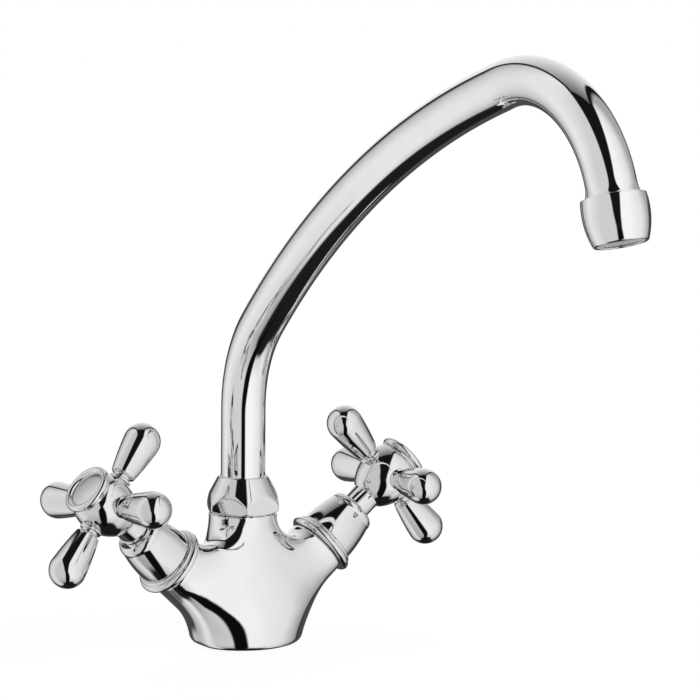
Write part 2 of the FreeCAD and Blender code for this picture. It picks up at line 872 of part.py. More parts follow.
def aerator_screen():
    """Round plate with holes in rows, clipped into the insert's lower end."""
    radius = insert_radius - insert_wall - thread_gap
    bottom = insert_bottom - screen_rise - screen_thickness
    plate = rod(radius, bottom, bottom + screen_thickness)
    reach = radius - screen_rim - screen_hole_radius
    rows = int(reach / (screen_pitch * math.sqrt(0.75)))
    holes = []
    for row in range(-rows, rows + 1):
        across = row * screen_pitch * math.sqrt(0.75)
        shift = (row % 2) * screen_pitch / 2
        columns = int(reach / screen_pitch) + 1
        for column in range(-columns, columns + 1):
            along = column * screen_pitch + shift
            if math.hypot(along, across) <= reach:
                hole = rod(screen_hole_radius, bottom - 1, bottom + screen_thickness + 1)
                hole.translate(Vector(along, across, 0))
                holes.append(hole)
    return at_outlet(plate.cut(holes))


# Files, one for each piece

def save_arm(side, name, rest_turn):
    save(name + "_valve_seat", on_arm(valve_seat(), side))
    save(name + "_valve_washer", on_arm(valve_washer(), side))
    save(name + "_washer_screw", on_arm(washer_screw(), side))
    save(name + "_plunger", on_arm(plunger(), side))
    save(name + "_bonnet", on_arm(bonnet(), side))
    save(name + "_bonnet_washer", on_arm(bonnet_washer(), side))
    save(name + "_spindle", on_arm(spindle(), side))
    save(name + "_spindle_seals", on_arm(spindle_seals(), side))
    save(name + "_spindle_clip", on_arm(spindle_clip(), side))
    save(name + "_trim_ring", on_arm(trim_ring(), side))
    save(name + "_arm_cover", on_arm(arm_cover(), side))
    save(name + "_handle_hub", handle_hub(side, rest_turn))
    save(name + "_handle_screw", on_arm(handle_screw(), side))
    save(name + "_cap_bezel", on_arm(cap_bezel(), side))
    save(name + "_handle_cap", on_arm(handle_cap(), side))
    for index in range(lobe_count):
        save(name + "_handle_lobe_" + str(index + 1), on_lobe(lobe(), side, rest_turn, index))


os.makedirs("parts", exist_ok=True)
save("body_casting", body_casting())
save("base_gasket", base_gasket())
save("spout_nut", spout_nut())
save("spout_slip_washer", spout_slip_washer())
save("spout_tube", spout_tube())
save("spout_spigot", spout_spigot())
save("spout_seals", spout_seals())
save("aerator_housing", aerator_housing())
save("aerator_washer", aerator_washer())
save("aerator_insert", aerator_insert())
save("aerator_screen", aerator_screen())
save_arm(HOT, "hot", hot_rest_turn)
save_arm(COLD, "cold", cold_rest_turn)
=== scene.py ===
# %% [markdown]
# A kitchen mixer tap, dressed for its portrait. The tap is one chromed casting that stands in
# one hole of a sink, with two cross handles on slanting arms and a long swan-necked spout.
# The CAD model gives every size and every joint. This script makes the smooth chromed
# surfaces that the eye sees, and hangs each one on the CAD body that it moves with.

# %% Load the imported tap
import math
from itertools import product

import bmesh
import bpy
import numpy as np
from mathutils import Matrix, Vector


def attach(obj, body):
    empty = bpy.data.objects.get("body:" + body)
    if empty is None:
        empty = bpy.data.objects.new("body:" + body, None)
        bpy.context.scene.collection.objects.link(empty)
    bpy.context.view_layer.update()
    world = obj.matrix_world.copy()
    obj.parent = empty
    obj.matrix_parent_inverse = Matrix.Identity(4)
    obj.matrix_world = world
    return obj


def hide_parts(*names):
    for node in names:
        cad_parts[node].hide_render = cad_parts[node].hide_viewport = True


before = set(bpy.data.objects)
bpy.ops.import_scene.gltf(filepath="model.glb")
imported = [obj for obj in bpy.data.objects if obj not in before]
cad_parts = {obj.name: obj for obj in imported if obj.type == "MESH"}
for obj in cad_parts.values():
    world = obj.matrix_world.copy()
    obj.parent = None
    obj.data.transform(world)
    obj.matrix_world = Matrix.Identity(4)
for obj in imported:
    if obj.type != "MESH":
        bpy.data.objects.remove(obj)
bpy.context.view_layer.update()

# %% [markdown]
# In Blender a shape or a camera is data, and an object puts the data into the scene. Every
# piece needs both, so one helper does it. A second one turns what modifiers and Geometry
# Nodes have made into a plain mesh, which can then be moved to its place point by point.
# A tap is drawn in millimetres and Blender counts in metres, so every size below is in
# millimetres, and is turned into metres only when a mesh is made.

# %% Objects and plain meshes
MM = 0.001


def place_object(name, data):
    """Object for some data, in the scene."""
    thing = bpy.data.objects.new(name, data)
    bpy.context.scene.collection.objects.link(thing)
    return thing


def plain_mesh(thing, name):
    """What an object's modifiers make of it, as a mesh of its own."""
    evaluated = thing.evaluated_get(bpy.context.evaluated_depsgraph_get())
    mesh = bpy.data.meshes.new_from_object(evaluated)
    mesh.name = name
    return mesh


# %% [markdown]
# The camera stands in front of the tap, a little to the hot side and a little above it. It
# is far away and its lens is long, as for a catalogue picture, so the upright lines stay
# upright. Its place is worked out from a few angles instead of being typed in as a matrix.

# %% The camera
camera_turn = math.radians(34.181)      # towards the hot side, from straight in front
camera_rise = math.radians(7.645)
camera_roll = math.radians(0.5598)
camera_distance = 1350.0
camera_aside = 44.57                    # of the lens from the body's axis
camera_above = 119.39
focal_pixels = 3267.08
picture_pixels = 700
sensor_width = 36.0
farthest_sight = 100                    # metres

towards_camera = Vector((
    -math.sin(camera_turn) * math.cos(camera_rise),
    -math.cos(camera_turn) * math.cos(camera_rise),
    math.sin(camera_rise),
))
level_right = Vector((math.cos(camera_turn), -math.sin(camera_turn), 0))
level_up = towards_camera.cross(level_right)
right = math.cos(camera_roll) * level_right + math.sin(camera_roll) * level_up
up = towards_camera.cross(right)

camera = place_object("camera", bpy.data.cameras.new("camera"))
lens_place = camera_aside * right + camera_above * up + camera_distance * towards_camera
camera_axes = Matrix((right, up, towards_camera)).transposed()
camera.matrix_world = Matrix.Translation(lens_place * MM) @ camera_axes.to_4x4()
camera.data.sensor_width = sensor_width
camera.data.lens = focal_pixels * sensor_width / picture_pixels
camera.data.clip_end = farthest_sight
bpy.context.scene.camera = camera
print("lens in millimetres:", round(camera.data.lens, 1))

# %% [markdown]
# Many pieces of a tap are turned on a lathe, so one helper turns a profile round the Z axis.
# A profile is a list of points, radius and height. A chromed edge is never a knife edge:
# polishing rounds it, and the round catches a thin line of light. The helper `softened`
# swaps each corner for a small arc, and puts one more point just beside the arc, so that
# the smooth shading of the round doesn't creep over the flat next to it.

# %% Profiles for turned pieces
almost_nothing = 1e-6
gentle_turn = math.radians(12)          # a corner that turns less stays as it is
side_share = 0.4                        # of a side's length, for the round at one of its ends


def arc(start, via, end, steps=12):
    """Points on the circle through three points, without the first."""
    ax, ay = start
    bx, by = via
    cx, cy = end
    spread = 2 * (ax * (by - cy) + bx * (cy - ay) + cx * (ay - by))
    if abs(spread) < almost_nothing:
        return [via, end]
    a2, b2, c2 = ax * ax + ay * ay, bx * bx + by * by, cx * cx + cy * cy
    ux = (a2 * (by - cy) + b2 * (cy - ay) + c2 * (ay - by)) / spread
    uy = (a2 * (cx - bx) + b2 * (ax - cx) + c2 * (bx - ax)) / spread
    radius = math.hypot(ax - ux, ay - uy)
    first = math.atan2(ay - uy, ax - ux)
    to_via = (math.atan2(by - uy, bx - ux) - first) % (2 * math.pi)
    to_end = (math.atan2(cy - uy, cx - ux) - first) % (2 * math.pi)
    if to_via > to_end:
        to_end -= 2 * math.pi
    angles = [first + to_end * k / steps for k in range(1, steps + 1)]
    return [(ux + radius * math.cos(t), uy + radius * math.sin(t)) for t in angles]


def softened(profile, round_size=0.3, closed=False, steps=4, guard=0.1):
    """The profile with its sharp corners rounded."""
    count = len(profile)
    points = []
    for k in range(count):
        here = Vector(profile[k])
        if not closed and k in (0, count - 1):
            points.append(tuple(here))
            continue
        back = Vector(profile[k - 1]) - here
        ahead = Vector(profile[(k + 1) % count]) - here
        turn = math.pi - back.angle(ahead)
        if turn < gentle_turn:
            points.append(tuple(here))
            continue
        reach = min(round_size * math.tan(turn / 2), side_share * back.length, side_share * ahead.length)
        start = here + back.normalized() * reach
        end = here + ahead.normalized() * reach
        if back.length > reach + 3 * guard:
            points.append(tuple(here + back.normalized() * (reach + guard)))
        for step in range(steps + 1):
            t = step / steps
            points.append(tuple((1 - t) ** 2 * start + 2 * t * (1 - t) * here + t ** 2 * end))
        if ahead.length > reach + 3 * guard:
            points.append(tuple(here + ahead.normalized() * (reach + guard)))
    return points


print("points of one softened corner:", len(softened([(0, 0), (9, 0), (9, 9)])) - 2)

# %% [markdown]
# The Screw modifier could do the turning, but it leaves doubled points to clean up on the
# axis and at the seam. Building the rings by hand closes each pole with a fan of triangles
# and each ring-shaped piece with a last band, so every turned piece comes out watertight.

# %% Turn a profile round the Z axis
def turned(name, profile, closed=False, segments=128):
    """Mesh of a turned piece. A closed profile is a ring; an open one starts and ends on the axis."""
    mesh_maker = bmesh.new()
    rings = []
    for radius, height in profile:
        if radius < almost_nothing:
            rings.append([mesh_maker.verts.new((0, 0, height * MM))])
            continue
        ring = []
        for k in range(segments):
            angle = 2 * math.pi * k / segments
            ring.append(mesh_maker.verts.new((
                radius * math.cos(angle) * MM, radius * math.sin(angle) * MM, height * MM)))
        rings.append(ring)
    pairs = list(zip(rings, rings[1:]))
    if closed:
        pairs.append((rings[-1], rings[0]))
    for lower, upper in pairs:
        for k in range(segments):
            after = (k + 1) % segments
            if len(lower) == 1:
                mesh_maker.faces.new((lower[0], upper[after], upper[k]))
            elif len(upper) == 1:
                mesh_maker.faces.new((lower[k], lower[after], upper[0]))
            else:
                mesh_maker.faces.new((lower[k], lower[after], upper[after], upper[k]))
    bmesh.ops.recalc_face_normals(mesh_maker, faces=mesh_maker.faces)
    mesh = bpy.data.meshes.new(name)
    mesh_maker.to_mesh(mesh)
    mesh_maker.free()
    mesh.shade_smooth()
    return mesh


sample = turned("sample_pin", [(0, 0), (2, 0), (2, 5), (0, 5)])
print("faces of a plain turned pin:", len(sample.polygons))
bpy.data.meshes.remove(sample)

# %% [markdown]
# The arm pieces are modelled standing up, with their height counted along the arm from the
# body's axis, and are then leaned over to their side. Moving the mesh itself, and not the
# object, leaves the object at the origin, where the CAD pieces have theirs. The arms' sizes
# repeat the CAD model's, because a skin half a millimetre off would show a gap.

# %% Put a piece on its body
HOT = -1
COLD = 1
SIDES = {"hot": HOT, "cold": COLD}
arm_elevation = 40.3
arm_sweep = 4.0
arm_root_height = 5.7
arm_length = 46.7


def arm_place(side):
    """From an arm that stands on its end to the arm in its place."""
    lean = Matrix.Rotation(math.radians(side * (90 - arm_elevation)), 4, "Y")
    sweep = Matrix.Rotation(math.radians(-side * arm_sweep), 4, "Z")
    return Matrix.Translation((0, 0, arm_root_height * MM)) @ sweep @ lean


def add_piece(name, mesh, body, nodes, material):
    """Object for a finished mesh, on its body, standing for its CAD nodes."""
    piece = place_object(name, mesh)
    if not mesh.materials:
        mesh.materials.append(material)
    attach(piece, body)
    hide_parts(*nodes)
    print(name, "faces:", len(mesh.polygons))
    return piece


def add_turned(name, profile, place, body, node, material, closed=False):
    """Piece turned from its profile and carried to its place."""
    mesh = turned(name, profile, closed)
    mesh.transform(place)
    add_piece(name, mesh, body, [node], material)


arm_end = arm_place(COLD) @ Vector((0, 0, arm_length * MM))
print("the cold arm ends at, in metres:", [round(c, 4) for c in arm_end])

# %% [markdown]
# A finish is drawn by a few shader nodes. Noise on Object coordinates sticks to the piece when
# it moves, and one noise can drive the colour and the roughness together, as a stain or a
# smear does. These small helpers keep each finish below down to what is special about it.

# %% Helpers for finishes
noise_low = 0.3                         # nearly all of a noise lies between these two values
noise_high = 0.7


def link_nodes(tree, *pairs):
    for source, target in pairs:
        tree.links.new(source, target)


def new_material(name, metallic=0.0):
    material = bpy.data.materials.new(name)
    material.use_nodes = True
    shader = material.node_tree.nodes["Principled BSDF"]
    shader.inputs["Metallic"].default_value = metallic
    return material, material.node_tree, shader


def add_noise(tree, scale, detail, stretch=(1, 1, 1)):
    """Noise on Object coordinates, stretched along the axes."""
    coordinates = tree.nodes.new("ShaderNodeTexCoord")
    mapping = tree.nodes.new("ShaderNodeMapping")
    mapping.inputs["Scale"].default_value = stretch
    noise = tree.nodes.new("ShaderNodeTexNoise")
    noise.inputs["Scale"].default_value = scale
    noise.inputs["Detail"].default_value = detail
    link_nodes(
        tree,
        (coordinates.outputs["Object"], mapping.inputs["Vector"]),
        (mapping.outputs["Vector"], noise.inputs["Vector"]),
    )
    return noise.outputs["Fac"]


def map_range(tree, source, low, high, from_low=noise_low, from_high=noise_high):
    """Straight change from low to high while the source goes over its own range."""
    node = tree.nodes.new("ShaderNodeMapRange")
    node.inputs["From Min"].default_value = from_low
    node.inputs["From Max"].default_value = from_high
    node.inputs["To Min"].default_value = low
    node.inputs["To Max"].default_value = high
    link_nodes(tree, (source, node.inputs["Value"]))
    return node.outputs["Result"]


def add_bump(tree, shader, relief, depth, strength=1.0, under=None):
    """Bump of a depth in millimetres, on top of the one under it."""
    bump = tree.nodes.new("ShaderNodeBump")
    bump.inputs["Strength"].default_value = strength
    bump.inputs["Distance"].default_value = depth * MM
    link_nodes(tree, (relief, bump.inputs["Height"]))
    if under is not None:
        link_nodes(tree, (under, bump.inputs["Normal"]))
    link_nodes(tree, (bump.outputs["Normal"], shader.inputs["Normal"]))
    return bump.outputs["Normal"]


def add_mottle(tree, shader, source, dark, pale, smooth, rough):
    """Colour from dark to pale, and roughness from smooth to rough, as the source grows."""
    ramp = tree.nodes.new("ShaderNodeValToRGB")
    for element, place, colour in zip(ramp.color_ramp.elements, (noise_low, noise_high), (dark, pale)):
        element.position = place
        element.color = (*colour, 1)
    link_nodes(
        tree,
        (source, ramp.inputs["Fac"]),
        (ramp.outputs["Color"], shader.inputs["Base Color"]),
        (map_range(tree, source, smooth, rough), shader.inputs["Roughness"]),
    )


print("materials that came with the packed tap:", len(bpy.data.materials))

# %% [markdown]
# Bright chrome is a mirror laid on polished brass. Its colour is a cold pale grey and it has
# no texture that the eye can name, but a perfect mirror still looks false. The real one has
# a very slight waviness from the polishing wheel, soft smears where hands touch it, and
# hair-fine wiping marks. Three noises at three scales give these, and all of them are faint.
# The tube and the aerator get the brightest chrome. The casting's chrome is a shade darker and the small
# fittings' darker still: that is painted shade, which makes their reflections darker than the tent alone
# would.

# %% Chrome
def make_chrome(name, dark, pale, smooth=0.015, rough=0.05):
    material, tree, shader = new_material(name, metallic=1.0)
    smears = add_noise(tree, scale=55, detail=4)
    wheel_waves = add_noise(tree, scale=90, detail=1)
    wipe_marks = add_noise(tree, scale=900, detail=2, stretch=(1, 1, 0.15))
    add_mottle(tree, shader, smears, dark, pale, smooth, rough)
    waves = add_bump(tree, shader, wheel_waves, depth=0.004)
    add_bump(tree, shader, wipe_marks, depth=0.0004, under=waves)
    return material


# One chrome in three brightnesses: the casting's and the fittings' are darker copies of the tube's, as
# painted shade.
tube_chrome = make_chrome("tube_chrome", (0.88, 0.89, 0.90), (0.94, 0.945, 0.95))
shaded_casting_chrome = make_chrome("shaded_casting_chrome", (0.84, 0.85, 0.86), (0.90, 0.905, 0.91))
shaded_fittings_chrome = make_chrome("shaded_fittings_chrome", (0.76, 0.77, 0.78), (0.83, 0.835, 0.84))
print("each chrome made with", len(tube_chrome.node_tree.nodes), "nodes")

# %% [markdown]
# The hidden parts have finishes of their own: the bonnets and spindles are bare turned
# brass, the seals black rubber, the washers red-brown fibre, the slip washer and the
# aerator's cage white plastic, and the screws plain steel. Each gets the marks of how it
# was made, so that a view into the tap, or a handle taken off, looks right.

# %% Finishes of the inner parts
def make_brass():
    material, tree, shader = new_material("bare_brass", metallic=1.0)
    stains = add_noise(tree, scale=140, detail=5)
    tool_marks = add_noise(tree, scale=2600, detail=2, stretch=(0.2, 0.2, 1))
    add_mottle(tree, shader, stains, (0.60, 0.40, 0.16), (0.80, 0.59, 0.29), 0.22, 0.36)
    add_bump(tree, shader, tool_marks, depth=0.01, strength=0.6)
    return material


def make_rubber():
    material, tree, shader = new_material("black_rubber")
    grain = add_noise(tree, scale=1500, detail=4)
    dust = add_noise(tree, scale=120, detail=3)
    add_mottle(tree, shader, dust, (0.012, 0.012, 0.013), (0.035, 0.034, 0.033), 0.5, 0.68)
    add_bump(tree, shader, grain, depth=0.02, strength=0.5)
    return material


def make_fibre():
    material, tree, shader = new_material("fibre_washer")
    fibres = add_noise(tree, scale=1400, detail=5, stretch=(1, 0.2, 1))
    add_mottle(tree, shader, fibres, (0.22, 0.045, 0.025), (0.42, 0.11, 0.06), 0.62, 0.8)
    add_bump(tree, shader, fibres, depth=0.04, strength=0.6)
    return material


def make_plastic():
    material, tree, shader = new_material("white_plastic")
    clouds = add_noise(tree, scale=200, detail=3)
    mould_grain = add_noise(tree, scale=1800, detail=2)
    add_mottle(tree, shader, clouds, (0.66, 0.66, 0.64), (0.76, 0.76, 0.74), 0.34, 0.46)
    shader.inputs["Subsurface Weight"].default_value = 0.08
    shader.inputs["Subsurface Scale"].default_value = 1 * MM
    add_bump(tree, shader, mould_grain, depth=0.01, strength=0.5)
    return material


def make_steel():
    material, tree, shader = new_material("plain_steel", metallic=1.0)
    brushing = add_noise(tree, scale=1100, detail=4, stretch=(1, 1, 0.1))
    add_mottle(tree, shader, brushing, (0.46, 0.46, 0.47), (0.62, 0.62, 0.63), 0.24, 0.38)
    add_bump(tree, shader, brushing, depth=0.006, strength=0.5)
    return material


brass = make_brass()
inner_finishes = {
    "bare_brass": brass,
    "black_rubber": make_rubber(),
    "fibre_washer": make_fibre(),
    "white_plastic": make_plastic(),
    "plain_steel": make_steel(),
}
print("finishes:", ", ".join(sorted(inner_finishes)))

# %% [markdown]
# The body is a casting with no edge on it: the foot, the neck and the two arms run into each
# other in wide soft hollows. Such a shape is hard to make from flat pieces and easy to make
# from a formula that says how far a point is from the surface, negative inside. The helper
# `skin_of` samples the formula on a grid, puts one point in each cell that the surface
# crosses, joins the points of neighbouring cells, and slides them onto the surface.

# %% A skin round a formula
flattest_slope = 0.05                   # keeps a slide short where the formula hardly changes


def gradient(formula, points, reach=0.01):
    slopes = []
    for axis in range(3):
        step = np.zeros(3)
        step[axis] = reach
        slopes.append((formula(points + step) - formula(points - step)) / (2 * reach))
    return np.stack(slopes, -1)


def settle(formula, points, rounds=3):
    """Slide points onto the surface where the formula is zero."""
    for _ in range(rounds):
        slope = gradient(formula, points)
        steepness = np.maximum((slope ** 2).sum(-1, keepdims=True), flattest_slope)
        points = points - formula(points)[:, None] * slope / steepness
    return points


def skin_of(name, formula, low, high, cell, smoothing):
    """Mesh of the formula's surface inside a box, in cells of one size."""
    axes = [np.arange(a, b + cell, cell) for a, b in zip(low, high)]
    grid = np.stack(np.meshgrid(*axes, indexing="ij"), -1)
    inside = formula(grid) < 0
    size = np.array(inside.shape) - 1
    corners = np.zeros(size, int)
    for shift in product((0, 1), repeat=3):
        corners += inside[tuple(slice(s, s + n) for s, n in zip(shift, size))]
    crossed = (corners > 0) & (corners < 8)
    number = np.full(size, -1)
    number[crossed] = np.arange(crossed.sum())
    points = np.array(low) + (np.argwhere(crossed) + 0.5) * cell
    faces = []
    for axis in range(3):
        first, second = (axis + 1) % 3, (axis + 2) % 3
        before = np.argwhere(np.diff(inside.astype(int), axis=axis) != 0)
        start_inside = inside[tuple(before.T)]
        ring = []
        for a, b in ((0, 0), (-1, 0), (-1, -1), (0, -1)):
            cells = before.copy()
            cells[:, first] += a
            cells[:, second] += b
            ring.append(number[tuple(cells.T)])
        quads = np.stack(ring, -1)
        quads[~start_inside] = quads[~start_inside][:, ::-1]
        faces.append(quads)
    faces = np.concatenate(faces)
    points = settle(formula, points)
    for _ in range(smoothing):
        total = np.zeros_like(points)
        count = np.zeros(len(points))
        for a, b in ((0, 1), (1, 2), (2, 3), (3, 0)):
            for here, there in ((a, b), (b, a)):
                np.add.at(total, faces[:, here], points[faces[:, there]])
                np.add.at(count, faces[:, here], 1)
        points = settle(formula, 0.5 * points + 0.5 * total / count[:, None], 2)
    mesh = bpy.data.meshes.new(name)
    mesh.from_pydata((points * MM).tolist(), [], faces.tolist())
    mesh.shade_smooth()
    print(name, "skin faces:", len(faces))
    return mesh


settled = settle(lambda points: np.linalg.norm(points, axis=-1) - 5, np.array([[9.0, 0, 0]]))
print("a point 9 mm out slides onto a ball of radius 5 at:", settled.round(3).tolist())

# %% [markdown]
# Two formulas are joined by taking the smaller distance, and what they share is the larger
# one. Either leaves a knife edge. When both distances are small, the length of the pair takes
# their place, and that is the formula of a circle: the joint becomes a hollow or a round of
# a chosen radius, like the ones that a pattern maker works into a casting.

# %% Joints between formulas
def round_join(first, second, radius):
    """Both shapes in one, with a hollow of that radius along their joint."""
    u = np.maximum(radius - first, 0)
    v = np.maximum(radius - second, 0)
    return np.maximum(radius, np.minimum(first, second)) - np.hypot(u, v)


def round_cut(first, second, radius):
    """What both shapes share, with its edge rounded to that radius."""
    u = np.maximum(radius + first, 0)
    v = np.maximum(radius + second, 0)
    return np.minimum(-radius, np.maximum(first, second)) + np.hypot(u, v)


print("a 10 mm hollow adds this much metal in the corner:", round(-float(round_join(0, 0, 10)), 2), "mm")

# %% [markdown]
# The core of the casting is a short upright wall at the foot, a cone, and a straight neck
# under the nut. It is a solid of revolution, so its formula needs only the distance from the
# axis and the height. Its shoulder is soft, because the real one was polished.

# %% The casting's core
foot_radius = 22.5
foot_wall_height = 6.0
neck_radius = 14.0
neck_start = 48.6
neck_height = 53.6
shoulder_softness = 1.6
neck_softness = 0.6


def core_formula(aside, height):
    """Foot wall, cone and neck, with a soft shoulder and a soft change to the neck."""
    slope = (foot_radius - neck_radius) / (neck_start - foot_wall_height)
    cone = foot_radius - (height - foot_wall_height) * slope
    widest = (cone + neck_radius + np.hypot(cone - neck_radius, neck_softness)) / 2
    outline = (widest + foot_radius - np.hypot(widest - foot_radius, shoulder_softness)) / 2
    return np.maximum((aside - outline) / math.hypot(1, slope), height - neck_height)


half_up = float(core_formula(0, neck_height / 2))
print("halfway up, the core's surface is this far from its axis:", round(-half_up, 2), "mm")

# %% [markdown]
# Each arm is a stout round bar with a ball at its root, and it narrows a little towards its
# mouth. The mouth's edge is rounded, which leaves a dark groove under the trim ring, as
# between the two pieces of the real tap.

# %% The casting's arms
arm_root_radius = 13.6
arm_mouth_radius = 13.0
mouth_edge_radius = 1.2


def arm_formula(side, points):
    inverse = np.array(arm_place(side).inverted())
    local = points @ inverse[:3, :3].T + inverse[:3, 3] / MM
    along = local[..., 2]
    aside = np.hypot(local[..., 0], local[..., 1])
    taper = (arm_root_radius - arm_mouth_radius) / arm_length
    flank = aside - (arm_root_radius - taper * along)
    root = np.hypot(aside, along) - arm_root_radius
    return round_cut(np.where(along < 0, root, flank), along - arm_length, mouth_edge_radius)


arm_depth = arm_formula(HOT, np.array([[0.0, 0.0, arm_root_height]]))[0]
print("the arm's root has a radius of", round(-float(arm_depth), 2), "mm")

# %% [markdown]
# Behind, the arms meet the core in a tight hollow. In front the hollow widens until the
# body's belly is one broad smooth face. A skirt that opens upwards trims the belly, so that
# the foot under it stays round, and the underside is cut flat where the tap stands.

# %% The casting's skin
crotch_radius = 9.5
belly_joint_radius = 20.0
belly_depth = 14.5                      # from the axis to where the joint is at its widest
skirt_slope = 1.1
skirt_start = 7.0
skirt_softness = 8.0
skirt_clearance = 0.9
skirt_edge_radius = 6.0
foot_edge_radius = 2.5
casting_box = ((-49, -28, -1.5), (49, 28, 55))


def casting_formula(points):
    aside = np.hypot(points[..., 0], points[..., 1])
    height = points[..., 2]
    body = core_formula(aside, height)
    forward = np.clip(-points[..., 1] / belly_depth, 0, 1)
    growth = forward ** 2 * (3 - 2 * forward)
    joint_radius = crotch_radius + (belly_joint_radius - crotch_radius) * growth
    for side in (HOT, COLD):
        body = round_join(body, arm_formula(side, points), joint_radius)
    above = height - skirt_start
    flaring = skirt_slope * (np.hypot(above, skirt_softness) + above) / 2
    skirt = (aside - foot_radius - skirt_clearance - flaring) / math.hypot(1, skirt_slope)
    body = round_cut(body, skirt, skirt_edge_radius)
    body = np.maximum(body, height - neck_height)
    return round_cut(body, -height, foot_edge_radius)


casting_mesh = skin_of("casting_skin", casting_formula, *casting_box, cell=0.8, smoothing=6)
casting_mesh.materials.append(shaded_casting_chrome)

# %% [markdown]
# The casting is hollow: it has a socket for the spout, a chamber in each arm for a valve, two
# ports for hoses, a hole for the fixing stud and a groove for the gasket. They are bored out
# of the skin as a machinist bores the real one. Each cutter is a turned solid of brass, and
# the Boolean modifier leaves the cutter's material on what it cuts, so bare metal shows in
# the bores and chrome outside. A port's countersink runs on past the underside, because a
# cutter with an edge exactly on a face leaves slivers there.

# %% Bore the casting
def stepped_bore(bottom, steps, mouth=None):
    """Profile of a bore in steps, each a radius and the height where it ends."""
    profile = [(0, mouth[1]), mouth] if mouth else [(0, bottom)]
    for radius, top in steps:
        profile += [(radius, bottom), (radius, top)]
        bottom = top
    return profile + [(0, bottom)]


def bore_cutter(name, profile, place, closed=False, segments=64):
    mesh = turned(name, profile, closed, segments)
    mesh.transform(place)
    mesh.materials.append(brass)
    return place_object(name, mesh)


port_aside = 8.5
port_setback = 3.0
stud_forward = 9.5
socket_bore = stepped_bore(35, [(6.5, 44.3), (9.6, 56)])
stud_bore = stepped_bore(0.7, [(3.4, 14)], mouth=(5.1, -1))
valve_bore = stepped_bore(9, [(4, 29), (6.65, 32), (9.6, 38.7), (10.35, 48)])
port_bore = stepped_bore(0.8, [(4.5, 12), (4, 14)], mouth=(6.3, -1))
gasket_groove = [(16.6, -1), (19.2, -1), (19.2, 2.22), (16.6, 2.22)]

upright = Matrix.Identity(4)
stud_place = Matrix.Translation((0, -stud_forward * MM, 0))
cutters = [bore_cutter("socket_bore", socket_bore, upright), bore_cutter("stud_bore", stud_bore, stud_place)]
for side_name, side in SIDES.items():
    port_place = Matrix.Translation((side * port_aside * MM, port_setback * MM, 0))
    cutters.append(bore_cutter(side_name + "_valve_bore", valve_bore, arm_place(side)))
    cutters.append(bore_cutter(side_name + "_port_bore", port_bore, port_place))
cutters.append(bore_cutter("gasket_groove", gasket_groove, upright, closed=True, segments=128))

blank = place_object("casting_blank", casting_mesh)
for cutter in cutters:
    boring = blank.modifiers.new(cutter.name, "BOOLEAN")
    boring.operation = "DIFFERENCE"
    boring.solver = "EXACT"
    boring.material_mode = "TRANSFER"
    boring.object = cutter
bored_casting = plain_mesh(blank, "bored_casting")
for helper in [blank] + cutters:
    bpy.data.objects.remove(helper)
bored_casting.set_sharp_from_angle(angle=math.radians(35))
add_piece("chromed_casting", bored_casting, "mixer_body", ["body_casting"], shaded_casting_chrome)

# %% [markdown]
# The nut that holds the spout is a hexagon with a cone turned on its top and a chamfer under
# it. Where the cone runs into the flats it leaves the curved edges that a turned nut has. The
# same kind of formula gives them: the nut is what a hexagonal bar, a cone and a chamfer
# share, with its edges rounded a little by the polishing.

# %% The spout nut
nut_height = 15.1
nut_flats = 28.0
nut_turn = -85.7                        # of its first flat, in degrees from the cold side
nut_cone_angle = math.radians(28.0)
nut_lip_radius = 10.15
nut_bore_radius = 9.4
nut_rim_radius = 13.9
nut_rim_height = 2.0
nut_edge_radius = 0.45
nut_lip_softness = 0.25
nut_foot_softness = 0.7
nut_corner_radius = nut_flats / math.sqrt(3) + 1
nut_top = neck_height + nut_height
nut_box = ((-18, -18, 52.6), (18, 18, 69.6))
far_inside = -99.0


def nut_formula(points):
    aside = np.hypot(points[..., 0], points[..., 1])
    height = points[..., 2]
    shape = np.full(aside.shape, far_inside)
    for k in range(6):
        facing = math.radians(nut_turn + 60 * k)
        flat = points[..., 0] * math.cos(facing) + points[..., 1] * math.sin(facing) - nut_flats / 2
        shape = round_cut(shape, flat, nut_edge_radius)
    cone = aside - nut_lip_radius - (nut_top - height) * math.tan(nut_cone_angle)
    shape = round_cut(shape, cone * math.cos(nut_cone_angle), nut_edge_radius)
    chamfer_slope = (nut_corner_radius - nut_rim_radius) / nut_rim_height
    chamfer = aside - nut_rim_radius - (height - neck_height) * chamfer_slope
    shape = round_cut(shape, chamfer / math.hypot(1, chamfer_slope), nut_edge_radius)
    shape = round_cut(shape, height - nut_top, nut_lip_softness)
    shape = round_cut(shape, neck_height - height, nut_foot_softness)
    return round_cut(shape, nut_bore_radius - aside, nut_lip_softness)


nut_mesh = skin_of("nut_skin", nut_formula, *nut_box, cell=0.34, smoothing=4)
add_piece("hexagon_spout_nut", nut_mesh, "mixer_body", ["spout_nut"], shaded_fittings_chrome)

# %% [markdown]
# The spout is a bent tube, so it follows a path: straight up, a low bend forward, a long easy
# bend, and the end bend that turns the water down. The path is worked out as a tube bender
# would set it, from each bend's radius and the heading at its end, so the bends run into
# each other without a kink. Its points lie close enough together to look round.

# %% The spout's path
tube_start = 63.0
riser_top = 96.5
riser_steps = 12
spout_bends = ((48.0, 54.5), (17.8, 367.0), (-72.8, 49.7))     # heading at the end, radius
outlet_straight = 2.8
tube_tail = 3.0                         # of the tube inside the aerator
tail_steps = 11
widest_path_turn = math.radians(1.5)
widest_path_gap = 2.0
fewest_bend_steps = 8


def below(heading):
    return Vector((0, -math.sin(heading), -math.cos(heading)))


def forward(heading):
    return Vector((0, -math.cos(heading), math.sin(heading)))


